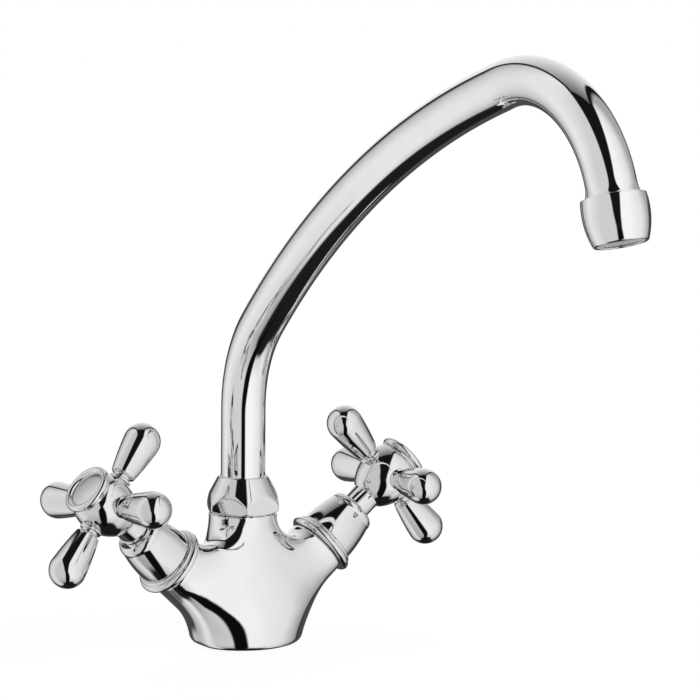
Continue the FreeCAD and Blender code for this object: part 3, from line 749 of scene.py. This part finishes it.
def spout_path():
    """Points of the tube's middle line, the outlet's middle and the outlet's heading."""
    rise = riser_top - tube_start
    points = [Vector((0, 0, tube_start + rise * k / riser_steps)) for k in range(riser_steps + 1)]
    heading = math.radians(90)
    for end_degrees, radius in spout_bends:
        end = math.radians(end_degrees)
        centre = points[-1] + below(heading) * radius
        step_angle = min(widest_path_turn, widest_path_gap / radius)
        steps = max(fewest_bend_steps, round((heading - end) / step_angle))
        for k in range(1, steps + 1):
            angle = heading + (end - heading) * k / steps
            points.append(centre - below(angle) * radius)
        heading = end
    last = points[-1]
    for k in range(1, tail_steps + 1):
        points.append(last + forward(heading) * (outlet_straight + tube_tail) * k / tail_steps)
    return points, last + forward(heading) * outlet_straight, heading


path_points, outlet_middle, outlet_heading = spout_path()
path_length = sum((b - a).length for a, b in zip(path_points, path_points[1:]))
print("length along the spout in millimetres:", round(path_length, 1))

# %% [markdown]
# A Geometry Nodes tree works like a small machine that is fed a mesh and gives back another.
# These helpers write its sums and run it. A size that a user may want to turn is a named
# input of the tree, and it is set by the input's identifier, since two may share a name.

# %% Helpers for Geometry Nodes
def node_input(tree, name, value):
    socket = tree.interface.new_socket(name, in_out="INPUT", socket_type="NodeSocketFloat")
    socket.default_value = value


def add_math(tree, operation, *values):
    """Math node whose inputs are numbers or other nodes' outputs."""
    node = tree.nodes.new("ShaderNodeMath")
    node.operation = operation
    for k, value in enumerate(values):
        if isinstance(value, (int, float)):
            node.inputs[k].default_value = value
        else:
            link_nodes(tree, (value, node.inputs[k]))
    return node.outputs[0]


def new_geometry_tree(name):
    tree = bpy.data.node_groups.new(name, "GeometryNodeTree")
    for in_out in ("INPUT", "OUTPUT"):
        tree.interface.new_socket("Geometry", in_out=in_out, socket_type="NodeSocketGeometry")
    return tree, tree.nodes.new("NodeGroupInput"), tree.nodes.new("NodeGroupOutput")


def realize_and_finish(tree, geometry, material, result):
    """The tree's last steps: real geometry, with its material."""
    realize = tree.nodes.new("GeometryNodeRealizeInstances")
    finish = tree.nodes.new("GeometryNodeSetMaterial")
    finish.inputs["Material"].default_value = material
    link_nodes(
        tree,
        (geometry, realize.inputs["Geometry"]),
        (realize.outputs["Geometry"], finish.inputs["Geometry"]),
        (finish.outputs["Geometry"], result.inputs["Geometry"]),
    )


def grown_mesh(name, start_mesh, tree, settings):
    """The mesh that a tree makes of a start mesh, with some of its inputs set."""
    holder = place_object(name, start_mesh)
    modifier = holder.modifiers.new("nodes", "NODES")
    modifier.node_group = tree
    for socket in tree.interface.items_tree:
        if socket.name in settings:
            modifier[socket.identifier] = settings[socket.name]
    made = plain_mesh(holder, name)
    bpy.data.objects.remove(holder)
    return made


print("node trees before the spout's:", len(bpy.data.node_groups))

# %% [markdown]
# The tree sweeps a circle along the path. Near the outlet the circle grows, which makes the
# flare that carries the aerator, and past the outlet the tube's tail is a little narrower,
# so that it stays clear inside the barrel. A curve with a bevel could make the tube too, but
# the tree keeps the flare's sizes as inputs that can be turned. Solidify then gives the tube
# its wall, inwards, so that the outside stays where the path put it.

# %% Sweep the tube along its path
tube_radius = 9.15
tube_segments = 112
tube_wall = 1.0
flare_length = 4.3
flare_radius = 10.2
flare_power = 1.8                       # 1 would make the flare a cone
tail_margin = 0.2
tail_reduction = 0.4


def sweep_tree():
    """Geometry Nodes tree: a circle swept along a line of points, wider towards its end."""
    tree, given, result = new_geometry_tree("swept_spout_tube")
    node_input(tree, "Tube radius", tube_radius * MM)
    node_input(tree, "Flare radius", flare_radius * MM)
    node_input(tree, "Flare length", flare_length * MM)
    node_input(tree, "Tail length", tube_tail * MM)
    size = given.outputs
    parameter = tree.nodes.new("GeometryNodeSplineParameter")
    total = tree.nodes.new("GeometryNodeSplineLength")
    before_tail = add_math(tree, "SUBTRACT", total.outputs["Length"], size["Tail length"])
    to_outlet = add_math(tree, "SUBTRACT", before_tail, parameter.outputs["Length"])
    share = add_math(tree, "SUBTRACT", 1, add_math(tree, "DIVIDE", to_outlet, size["Flare length"]))
    share = add_math(tree, "MAXIMUM", 0, add_math(tree, "MINIMUM", 1, share))
    growth = add_math(tree, "SUBTRACT", size["Flare radius"], size["Tube radius"])
    flare = add_math(tree, "POWER", share, flare_power)
    grown = add_math(tree, "MULTIPLY_ADD", flare, growth, size["Tube radius"])
    past_outlet = add_math(tree, "LESS_THAN", to_outlet, -tail_margin * MM)
    width = add_math(tree, "MULTIPLY_ADD", past_outlet, -tail_reduction * MM, grown)

    line = tree.nodes.new("GeometryNodeMeshToCurve")
    widen = tree.nodes.new("GeometryNodeSetCurveRadius")
    circle = tree.nodes.new("GeometryNodeCurvePrimitiveCircle")
    circle.inputs["Resolution"].default_value = tube_segments
    circle.inputs["Radius"].default_value = 1.0
    radius_field = tree.nodes.new("GeometryNodeInputRadius")
    sweep = tree.nodes.new("GeometryNodeCurveToMesh")
    smooth = tree.nodes.new("GeometryNodeSetShadeSmooth")
    link_nodes(
        tree,
        (given.outputs["Geometry"], line.inputs["Mesh"]),
        (line.outputs["Curve"], widen.inputs["Curve"]),
        (width, widen.inputs["Radius"]),
        (widen.outputs["Curve"], sweep.inputs["Curve"]),
        (circle.outputs["Curve"], sweep.inputs["Profile Curve"]),
        (radius_field.outputs["Radius"], sweep.inputs["Scale"]),
        (sweep.outputs["Mesh"], smooth.inputs["Geometry"]),
    )
    realize_and_finish(tree, smooth.outputs["Geometry"], tube_chrome, result)
    return tree


path_mesh = bpy.data.meshes.new("spout_path")
path_edges = [(k, k + 1) for k in range(len(path_points) - 1)]
path_mesh.from_pydata([tuple(p * MM) for p in path_points], path_edges, [])
tube_mesh = grown_mesh("spout_tube", path_mesh, sweep_tree(), {})
tube = add_piece("swan_neck_spout", tube_mesh, "spout", ["spout_tube"], tube_chrome)
wall = tube.modifiers.new("tube_wall", "SOLIDIFY")
wall.thickness = tube_wall * MM
wall.offset = -1

# %% [markdown]
# The aerator screws onto the flare. Its barrel is slightly rounded like a small cask, and its
# mouth turns in to hold a plastic cage with a fine steel screen. It is turned like the other
# pieces and then carried to the outlet, pointing along the water.

# %% The aerator
barrel_foot = (11.7, 0)
barrel_belly = (11.95, 8.0)
barrel_lip = (9.95, 16.4)
barrel_thread = 10.05
barrel_mouth = [(9.55, 16.8), (8.45, 16.8), (8.45, 15.6), (9.0, 15.6), (9.0, 9.0), (barrel_thread, 9.0)]
aerator_profile = softened(
    [(barrel_thread, 0), barrel_foot] + arc(barrel_foot, barrel_belly, barrel_lip, 20) + barrel_mouth,
    0.3, closed=True)
tip = Matrix.Rotation(math.radians(90) - outlet_heading, 4, "X")
outlet_place = Matrix.Translation(outlet_middle * MM) @ tip
add_turned(
    "aerator_barrel", aerator_profile, outlet_place,
    "spout", "aerator_housing", tube_chrome, closed=True)

# %% [markdown]
# Each arm ends in a trim ring of two beads, one coarse and one fine. A bead could be a torus,
# but a ring like this is turned in one piece, so both beads and the foot under them are one
# profile here, with no seam between them.

# %% Trim rings
bead_radius = 13.24
bead_section = 1.66
fine_radius = 12.75
fine_section = 0.85
bead_gap = 0.35
ring_bore = 11.8
ring_foot = 12.9
bead_spot = arm_length + bead_section
fine_spot = bead_spot + bead_section + bead_gap
ring_top = fine_spot + fine_section


def bead(radius, spot, section, first, last, steps):
    """Points round the outside of a bead, from one angle to another in degrees."""
    points = []
    for k in range(steps + 1):
        angle = math.radians(first + (last - first) * k / steps)
        points.append((radius + section * math.cos(angle), spot + section * math.sin(angle)))
    return points


ring_profile = (
    [(ring_bore, arm_length), (ring_foot, arm_length)]
    + bead(bead_radius, bead_spot, bead_section, -86, 74, 20)
    + bead(fine_radius, fine_spot, fine_section, -38, 88, 14)
    + [(ring_bore, ring_top)]
)
print("height of a trim ring:", round(ring_top - arm_length, 2), "mm")

# %% [markdown]
# A bell cover hides the valve's bonnet. It narrows from the trim ring to a waist and a rounded
# shoulder, with a hole for the handle's neck. It is a shell, so its inside is part of the
# profile, and the profile is closed. The rings and covers of both arms are then made in one
# loop, because the arms differ only in the side that they lean to.

# %% Bell covers
cover_top = 69.6
waist_spot = ring_top + 7.1
plate_bottom = cover_top - 3.1
cover_foot = (12.3, ring_top)
cover_waist = (11.75, waist_spot)
cover_shoulder = (10.1, cover_top - 3.4)
cover_brow = (9.65, cover_top - 1.2)
cover_rim = (8.2, cover_top)
cover_hole = 5.05
cover_inside = softened(
    [(8.0, cover_top), (cover_hole, cover_top), (cover_hole, plate_bottom), (8.55, plate_bottom),
     (9.0, plate_bottom - 0.4), (10.65, waist_spot), (11.2, ring_top + 0.2)],
    0.3)
cover_profile = (
    [cover_foot]
    + arc(cover_foot, cover_waist, cover_shoulder, 26)
    + arc(cover_shoulder, cover_brow, cover_rim, 12)
    + cover_inside
)
for side_name, side in SIDES.items():
    for piece_name, profile, node_name in (
        ("_beaded_ring", ring_profile, "_trim_ring"),
        ("_bell_cover", cover_profile, "_arm_cover"),
    ):
        add_turned(
            side_name + piece_name, profile, arm_place(side),
            "mixer_body", side_name + node_name, shaded_fittings_chrome, closed=True)

# %% [markdown]
# The handle's hub is a small cup on a neck, which swells to a belly where the four lobes
# spring from it. It is one more turned piece: two arcs make the swell and the brow, and the
# straight stretches above and below them have softened corners.

# %% The hub's profile
turning_gap = 0.3                       # between the cover and the handle
hub_start = cover_top + turning_gap
lobe_plane = hub_start + 19.2
hub_end = hub_start + 28.9
cup_edge = (7.7, hub_start + 8.1)
hub_belly = (12.1, lobe_plane)
hub_front = (10.6, hub_start + 26.6)
hub_swell = arc(cup_edge, (10.9, hub_start + 13.65), hub_belly, 20)
hub_brow = arc(hub_belly, (11.7, hub_start + 23.3), hub_front, 16)
hub_neck = [(0, hub_start), (6.15, hub_start), (6.15, hub_start + 6.8), cup_edge]
hub_face = [hub_front, (9.3, hub_start + 28.1), (9.3, hub_end), (0, hub_end)]
hub_profile = softened(hub_neck, 0.35) + hub_swell + hub_brow + softened(hub_face, 0.3)[1:]
print("lobe plane along the arm:", round(lobe_plane, 2), "mm")

# %% [markdown]
# A lobe is a long drop of metal: a peg that goes into the hub, a thin collar with a bead, a
# flank that swells outwards, and a ball at the tip. The flank's arc ends where it touches
# the ball, so no line shows between them.

# %% The lobe's profile
lobe_tip = 30.84                        # the ball's middle, from the hub's axis
lobe_tip_radius = 7.55
lobe_taper = math.radians(6.0)
lobe_tip_steps = 24
lobe_flank_start = (5.0, 14.6)
lobe_flank_middle = (6.45, 22.0)
flank_arc_start = 15.2                  # up to here, the softened collar is used
collar_start = 11.5
collar_end = 12.9


def lobe_profile():
    peg = [(0, 8.9), (2.4, 8.9), (2.4, collar_start), (4.6, collar_start), (4.6, 12.3)]
    collar = [(4.0, collar_end), (3.5, collar_end), (3.5, 13.8), lobe_flank_start, (5.25, 15.6)]
    flank_end = (
        lobe_tip_radius * math.cos(lobe_taper),
        lobe_tip - lobe_tip_radius * math.sin(lobe_taper),
    )
    flank = arc(lobe_flank_start, lobe_flank_middle, flank_end, 26)
    tip = []
    for k in range(1, lobe_tip_steps + 1):
        angle = -lobe_taper + (math.pi / 2 + lobe_taper) * k / lobe_tip_steps
        tip.append((lobe_tip_radius * math.cos(angle), lobe_tip + lobe_tip_radius * math.sin(angle)))
    tip[-1] = (0, lobe_tip + lobe_tip_radius)
    return softened(peg + collar, 0.35)[:-1] + [p for p in flank if p[1] > flank_arc_start] + tip


print("lobe length from the hub's axis:", round(lobe_tip + lobe_tip_radius, 2), "mm")

# %% [markdown]
# One lobe is turned from its profile and a Geometry Nodes tree sets four of them round the
# hub, so the number of lobes and the plane they lie in are inputs of the tree and not copies
# by hand. Each point of the tree holds one lobe, tipped out level and turned to its place.

# %% Four lobes round a hub
lobe_count = 4
lobe_segments = 72


def lobes_tree():
    """Geometry Nodes tree: the given lobe, set round the Z axis in one plane."""
    tree, given, result = new_geometry_tree("lobes_round_hub")
    count = tree.interface.new_socket("Lobes", in_out="INPUT", socket_type="NodeSocketInt")
    count.default_value = lobe_count
    node_input(tree, "Plane", lobe_plane * MM)
    node_input(tree, "First angle", 0.0)
    spots = tree.nodes.new("GeometryNodePoints")
    height = tree.nodes.new("ShaderNodeCombineXYZ")
    number = tree.nodes.new("GeometryNodeInputIndex")
    copies = tree.nodes.new("GeometryNodeInstanceOnPoints")
    turn = tree.nodes.new("ShaderNodeCombineXYZ")
    turn.inputs["Y"].default_value = math.pi / 2
    step = add_math(tree, "DIVIDE", 2 * math.pi, given.outputs["Lobes"])
    angle = add_math(tree, "MULTIPLY_ADD", number.outputs["Index"], step, given.outputs["First angle"])
    link_nodes(
        tree,
        (given.outputs["Lobes"], spots.inputs["Count"]),
        (given.outputs["Plane"], height.inputs["Z"]),
        (height.outputs["Vector"], spots.inputs["Position"]),
        (angle, turn.inputs["Z"]),
        (spots.outputs["Points"], copies.inputs["Points"]),
        (given.outputs["Geometry"], copies.inputs["Instance"]),
        (turn.outputs["Vector"], copies.inputs["Rotation"]),
    )
    realize_and_finish(tree, copies.outputs["Instances"], shaded_fittings_chrome, result)
    return tree


four_lobes = lobes_tree()
print("nodes in the lobes' tree:", len(four_lobes.nodes))

# %% [markdown]
# In the middle of each handle sits a round cap in a thick rounded rim. The cap is a button
# that hides the handle's screw, and its face is a shallow dome, a shade duller than the rim.

# %% Rim and cap profiles
rim_foot = (9.3, hub_end)
rim_belly = (10.6, hub_end + 1.4)
rim_crest = (9.2, hub_end + 3.0)
rim_throat = (8.15, hub_end + 2.6)
rim_stem_radius = 5.0
cap_radius = 7.5
cap_clearance = 0.05
cap_seat = hub_end + 1.0
cap_edge = hub_end + 1.7
cap_dome_height = 0.8
throat = arc(rim_crest, rim_throat, (cap_radius + cap_clearance, cap_edge), 14)
rim_inside = [throat[-1], (cap_radius + cap_clearance, cap_seat), (rim_stem_radius, cap_seat),
              (rim_stem_radius, hub_end - 3.4), (7.55, hub_end - 3.4), (7.55, hub_end)]
rim_profile = [rim_foot] + arc(rim_foot, rim_belly, rim_crest, 26)
rim_profile += throat + softened(rim_inside, 0.25)[1:]

dome = arc((cap_radius, cap_edge), (cap_radius / 2, cap_edge + 0.6), (0, cap_edge + cap_dome_height), 18)
cap_side = [(0, hub_end - 2.0), (4.7, hub_end - 2.0), (4.7, cap_seat), (cap_radius, cap_seat),
            (cap_radius, cap_edge), dome[0]]
cap_profile = softened(cap_side, 0.2)[:-1] + dome
print("the cap's top along the arm:", round(cap_edge + cap_dome_height, 2), "mm")

# %% [markdown]
# The two handles are alike and stand turned by different angles, as hands left them. One loop
# makes both. Every piece of a handle rides on the handle's own body, which turns round the
# arm's axis, so no piece of it is left behind when the tap is opened.

# %% Both handles
first_lobe = {"hot": 5.7, "cold": 180.0}
cap_face = make_chrome("cap_face", (0.66, 0.67, 0.68), (0.74, 0.745, 0.75), 0.03, 0.08)

for side_name, side in SIDES.items():
    body = side_name + "_handle"
    place = arm_place(side)
    add_turned(side_name + "_cup_hub", hub_profile, place, body, side_name + "_handle_hub", shaded_fittings_chrome)
    one_lobe = turned(side_name + "_one_lobe", lobe_profile(), segments=lobe_segments)
    turned_by = {"First angle": math.radians(first_lobe[side_name])}
    lobe_set = grown_mesh(side_name + "_lobes", one_lobe, four_lobes, turned_by)
    lobe_set.transform(place)
    lobe_nodes = [side_name + "_handle_lobe_" + str(k + 1) for k in range(lobe_count)]
    add_piece(side_name + "_teardrop_lobes", lobe_set, body, lobe_nodes, shaded_fittings_chrome)
    add_turned(
        side_name + "_cap_rim", rim_profile, place,
        body, side_name + "_cap_bezel", shaded_fittings_chrome, closed=True)
    add_turned(
        side_name + "_round_cap", cap_profile, place,
        body, side_name + "_handle_cap", cap_face)

# %% [markdown]
# The pieces inside the tap keep their CAD shape, which is already right, and only get a
# better finish: brass for what is turned, rubber or fibre for what seals, steel for what
# screws and clips.

# %% Finish the inner parts
valve_finishes = {
    "bare_brass": ("valve_seat", "bonnet", "spindle", "plunger"),
    "black_rubber": ("valve_washer", "spindle_seals"),
    "plain_steel": ("washer_screw", "spindle_clip", "handle_screw"),
    "fibre_washer": ("bonnet_washer",),
}
other_finishes = {
    "bare_brass": ("spout_spigot",),
    "black_rubber": ("base_gasket", "spout_seals", "aerator_washer"),
    "white_plastic": ("spout_slip_washer", "aerator_insert"),
    "plain_steel": ("aerator_screen",),
}
finish_of = {}
for finish_name, parts in valve_finishes.items():
    for side_name, part in product(SIDES, parts):
        finish_of[side_name + "_" + part] = finish_name
for finish_name, parts in other_finishes.items():
    for part in parts:
        finish_of[part] = finish_name
for node_name, finish_name in finish_of.items():
    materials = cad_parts[node_name].data.materials
    materials.clear()
    materials.append(inner_finishes[finish_name])
print("inner parts finished:", len(finish_of))

# %% [markdown]
# Chrome shows only what stands round it. A photographer puts a chromed piece in a tent of
# pale cloth, with a dark gap for the camera and dark cards at the sides, and the dark lines
# on the tap are the reflections of that gap and those cards. The tent could be built from
# planes and lamps, but then every card would also throw its own shadow on the floor. Here
# it is the world's colour, drawn by direction, so each card is a few plain angles: a turn
# from the camera to the right, and a rise above the floor, both in degrees.

# %% Directions in the tent
world = bpy.data.worlds.new("tent")
world.use_nodes = True
bpy.context.scene.world = world
tent = world.node_tree
tent.nodes.clear()
look = tent.nodes.new("ShaderNodeTexCoord").outputs["Generated"]


def direction(turn, rise):
    """Unit vector for a turn from the camera, to the right, and a rise above the floor."""
    a = math.radians(turn) - camera_turn
    b = math.radians(rise)
    return (math.sin(a) * math.cos(b), -math.cos(a) * math.cos(b), math.sin(b))


def part_along(vector):
    """How much of the direction of sight lies along a vector."""
    node = tent.nodes.new("ShaderNodeVectorMath")
    node.operation = "DOT_PRODUCT"
    node.inputs[1].default_value = vector
    link_nodes(tent, (look, node.inputs[0]))
    return node.outputs["Value"]


def tent_math(operation, *values):
    return add_math(tent, operation, *values)


def in_degrees(angle):
    return tent_math("MULTIPLY", angle, math.degrees(1))


sideways = part_along(direction(90, 0))
ahead = part_along(direction(0, 0))
height = part_along((0, 0, 1))
turn = in_degrees(tent_math("ARCTAN2", sideways, ahead))
rise = in_degrees(tent_math("ARCSINE", height))
print("direction of the camera:", [round(c, 3) for c in direction(0, math.degrees(camera_rise))])

# %% [markdown]
# The tent is painted in layers, as with a stencil: a share between 0 and 1 says where a layer
# covers what is under it. Cloth and card have no hard edge in a curved mirror, so each share
# changes over a few degrees.

# %% Layers of the tent
def soft_step(value, edge, softness):
    """1 below the edge and 0 above it."""
    node = tent.nodes.new("ShaderNodeMapRange")
    node.interpolation_type = "SMOOTHSTEP"
    node.inputs["From Min"].default_value = edge - softness
    node.inputs["From Max"].default_value = edge + softness
    node.inputs["To Min"].default_value = 1.0
    node.inputs["To Max"].default_value = 0.0
    link_nodes(tent, (value, node.inputs["Value"]))
    return node.outputs["Result"]


def lay_over(under, share, level):
    """A brightness laid over what is under it, as far as the share goes."""
    return tent_math("MULTIPLY_ADD", tent_math("SUBTRACT", level, under), share, under)


def distance_from(middle, value):
    return tent_math("ABSOLUTE", tent_math("SUBTRACT", value, middle))


def angle_from(turn_angle, rise_angle):
    return in_degrees(tent_math("ARCCOSINE", part_along(direction(turn_angle, rise_angle))))


print("nodes in the tent so far:", len(tent.nodes))

# %% [markdown]
# The cloth isn't lit evenly. The right wall is bright near the camera and fades in two steps
# towards the back. The left wall is greyer near the camera, brighter beside the tap and dim
# at the back. Near the camera both walls darken towards the table.

# %% Walls of the tent
wall_levels = {"left": 0.67, "right": 0.99}
wall_changes = {                        # from turn, to turn, change
    "left": [(-60, -98, 0.18), (-105, -140, -0.42)],
    "right": [(40, 90, -0.18), (90, 122, -0.40)],
}
wall_meeting_turn = -2
wall_meeting_softness = 3
dusk_start = -38
dusk_end = -86
dusk_share = 0.68
dusk_reach = 75                         # to each side of the camera
dusk_softness = 15

walls = {}
for wall_name, level in wall_levels.items():
    for from_turn, to_turn, change in wall_changes[wall_name]:
        level = tent_math("ADD", map_range(tent, turn, 0.0, change, from_turn, to_turn), level)
    walls[wall_name] = level
on_left = soft_step(turn, wall_meeting_turn, wall_meeting_softness)
brightness = lay_over(walls["right"], on_left, walls["left"])
darkening = map_range(tent, rise, 0.0, -dusk_share, dusk_start, dusk_end)
near_camera = soft_step(tent_math("ABSOLUTE", turn), dusk_reach, dusk_softness)
brightness = tent_math("MULTIPLY", brightness, tent_math("MULTIPLY_ADD", darkening, near_camera, 1.0))
print("brightness of the walls by the camera:", wall_levels)

# %% [markdown]
# Two dark cards stand behind the tap, to its left and right, and three round dark patches
# are the gap behind it and the table that it stands on. They draw the dark lines along both
# edges of every upright piece, without which chrome would melt into a white background.

# %% Cards and patches
# name: brightness, turn, half width, rise, half height, softness of the edge
tent_cards = {
    "left gap": (0.06, -151, 12, -17, 43, 5),
    "right gap": (0.05, 138, 9, -25, 32, 5),
}
# name: brightness, turn, rise, radius, softness of the edge
tent_rounds = {
    "behind": (0.07, 180, -7.6, 40, 5),
    "table": (0.012, 172, -67, 23, 3),
    "table edge": (0.012, 60, -84, 22, 4),
}
for level, card_turn, half_width, card_rise, half_height, softness in tent_cards.values():
    aside = tent_math("WRAP", tent_math("SUBTRACT", turn, card_turn), 180, -180)
    across = soft_step(tent_math("ABSOLUTE", aside), half_width, softness)
    upwards = soft_step(distance_from(card_rise, rise), half_height, softness)
    brightness = lay_over(brightness, tent_math("MULTIPLY", across, upwards), level)
for level, round_turn, round_rise, radius, softness in tent_rounds.values():
    share = soft_step(angle_from(round_turn, round_rise), radius, softness)
    brightness = lay_over(brightness, share, level)
print("cards and patches in the tent:", len(tent_cards) + len(tent_rounds))

# %% [markdown]
# The camera looks in through an upright slit in the cloth. It is narrowest near the tap's
# own height and leans a little, and it makes the dark line down the middle of each piece.

# %% The slit for the camera
slit_level = 0.004
slit_half_width = 9.5
slit_softness = 3.0
slit_waist = -5.0                       # the rise where it is narrowest
slit_widening = 0.15                    # to each side, for a degree away from the waist
slit_lean = -0.22
slit_farthest_left = -3.0
slit_farthest_right = 6.0

leaning = tent_math("MAXIMUM", tent_math("MULTIPLY", rise, slit_lean), slit_farthest_left)
from_slit = distance_from(tent_math("MINIMUM", leaning, slit_farthest_right), turn)
from_slit = tent_math("MULTIPLY_ADD", distance_from(slit_waist, rise), -slit_widening, from_slit)
brightness = lay_over(brightness, soft_step(from_slit, slit_half_width, slit_softness), slit_level)
print("width of the slit at its waist in degrees:", 2 * slit_half_width)

# %% [markdown]
# Over the tap hangs a black strip with a panel of light in it. Both run from front to back
# and grow wider towards the back. An edge that is straight in a flat roof is a plane through
# the tap, so each edge is a weighted sum of the direction's parts and no angle is needed.
# The panel is dim at its front and bright at its back, and shades the tops of round pieces.

# %% Roof and panel
panel_front = 0.06                      # sheets are measured as shares of their height
panel_left = 0.36
panel_right = 0.16
panel_spread = 0.40
panel_softness = 0.02
panel_front_level = 0.14
panel_back_level = 0.93
roof_level = 0.008
roof_margin = 0.12                      # of black round the panel

past_front = tent_math("MULTIPLY_ADD", height, -panel_front, ahead)
past_left = tent_math("SUBTRACT", tent_math("MULTIPLY", height, -panel_left), sideways)
past_right = tent_math("MULTIPLY_ADD", height, -panel_right, sideways)
past_side = tent_math("MAXIMUM", past_left, past_right)
past_side = tent_math("MULTIPLY_ADD", tent_math("MINIMUM", ahead, 0.0), panel_spread, past_side)
past_side = tent_math("MAXIMUM", past_side, tent_math("MULTIPLY", height, -1.0))
panel_level = map_range(tent, ahead, panel_front_level, panel_back_level, panel_front, -1.0)
under_roof = soft_step(past_side, roof_margin, 2 * panel_softness)
under_panel = soft_step(tent_math("MAXIMUM", past_side, past_front), 0.0, panel_softness)
brightness = lay_over(brightness, under_roof, roof_level)
brightness = lay_over(brightness, under_panel, panel_level)
print("brightness of the panel, front and back:", panel_front_level, panel_back_level)

# %% [markdown]
# The picture's background is plain white, while the tap's mirrors go on showing the tent. The
# Light Path node tells rays from the camera from mirrored ones. Rays that only graze the
# tap's edge are mirrored straight on to the backdrop, so a patch of the tent exactly behind
# the tap is white for them too.

# %% White background
backdrop_turn = 180
backdrop_rise = -7.6
backdrop_radius = 11
backdrop_softness = 3

rays = tent.nodes.new("ShaderNodeLightPath").outputs
mirrored = tent_math("ADD", rays["Is Glossy Ray"], rays["Is Transmission Ray"])
from_backdrop = angle_from(backdrop_turn, backdrop_rise)
on_backdrop = soft_step(from_backdrop, backdrop_radius, backdrop_softness)
seen_behind = tent_math("MULTIPLY", mirrored, on_backdrop)
white_share = tent_math("MINIMUM", tent_math("ADD", rays["Is Camera Ray"], seen_behind), 1.0)
brightness = lay_over(brightness, white_share, 1.0)
glow = tent.nodes.new("ShaderNodeBackground")
glow.inputs["Color"].default_value = (1, 1, 1, 1)
to_world = tent.nodes.new("ShaderNodeOutputWorld")
link_nodes(
    tent,
    (brightness, glow.inputs["Strength"]),
    (glow.outputs["Background"], to_world.inputs["Surface"]),
)
print("nodes in the whole tent:", len(tent.nodes))

# %% [markdown]
# The floor is plain and so pale that it melts into the background. Part of its brightness is
# its own glow and part is light from the tent, so the tap still leaves a soft shadow where
# it stands. Mirrors don't see the floor: in them the tent's own lower half takes its place.

# %% The floor
floor_reach = 4.0                       # metres, to each side of the tap
floor_grey = 0.42
floor_glow = 0.80
floor_roughness = 0.9

floor_mesh = bpy.data.meshes.new("floor")
floor_corners = [(x * floor_reach, y * floor_reach, 0) for x, y in ((-1, -1), (1, -1), (1, 1), (-1, 1))]
floor_mesh.from_pydata(floor_corners, [], [(0, 1, 2, 3)])
floor = place_object("floor", floor_mesh)
floor_paint, _, floor_shader = new_material("pale_floor")
floor_shader.inputs["Base Color"].default_value = (floor_grey, floor_grey, floor_grey, 1)
floor_shader.inputs["Roughness"].default_value = floor_roughness
floor_shader.inputs["Specular IOR Level"].default_value = 0.0
floor_shader.inputs["Emission Color"].default_value = (1, 1, 1, 1)
floor_shader.inputs["Emission Strength"].default_value = floor_glow
floor_mesh.materials.append(floor_paint)
floor.visible_glossy = False
bpy.context.scene.view_settings.view_transform = "Standard"
print("floor size in metres:", 2 * floor_reach)
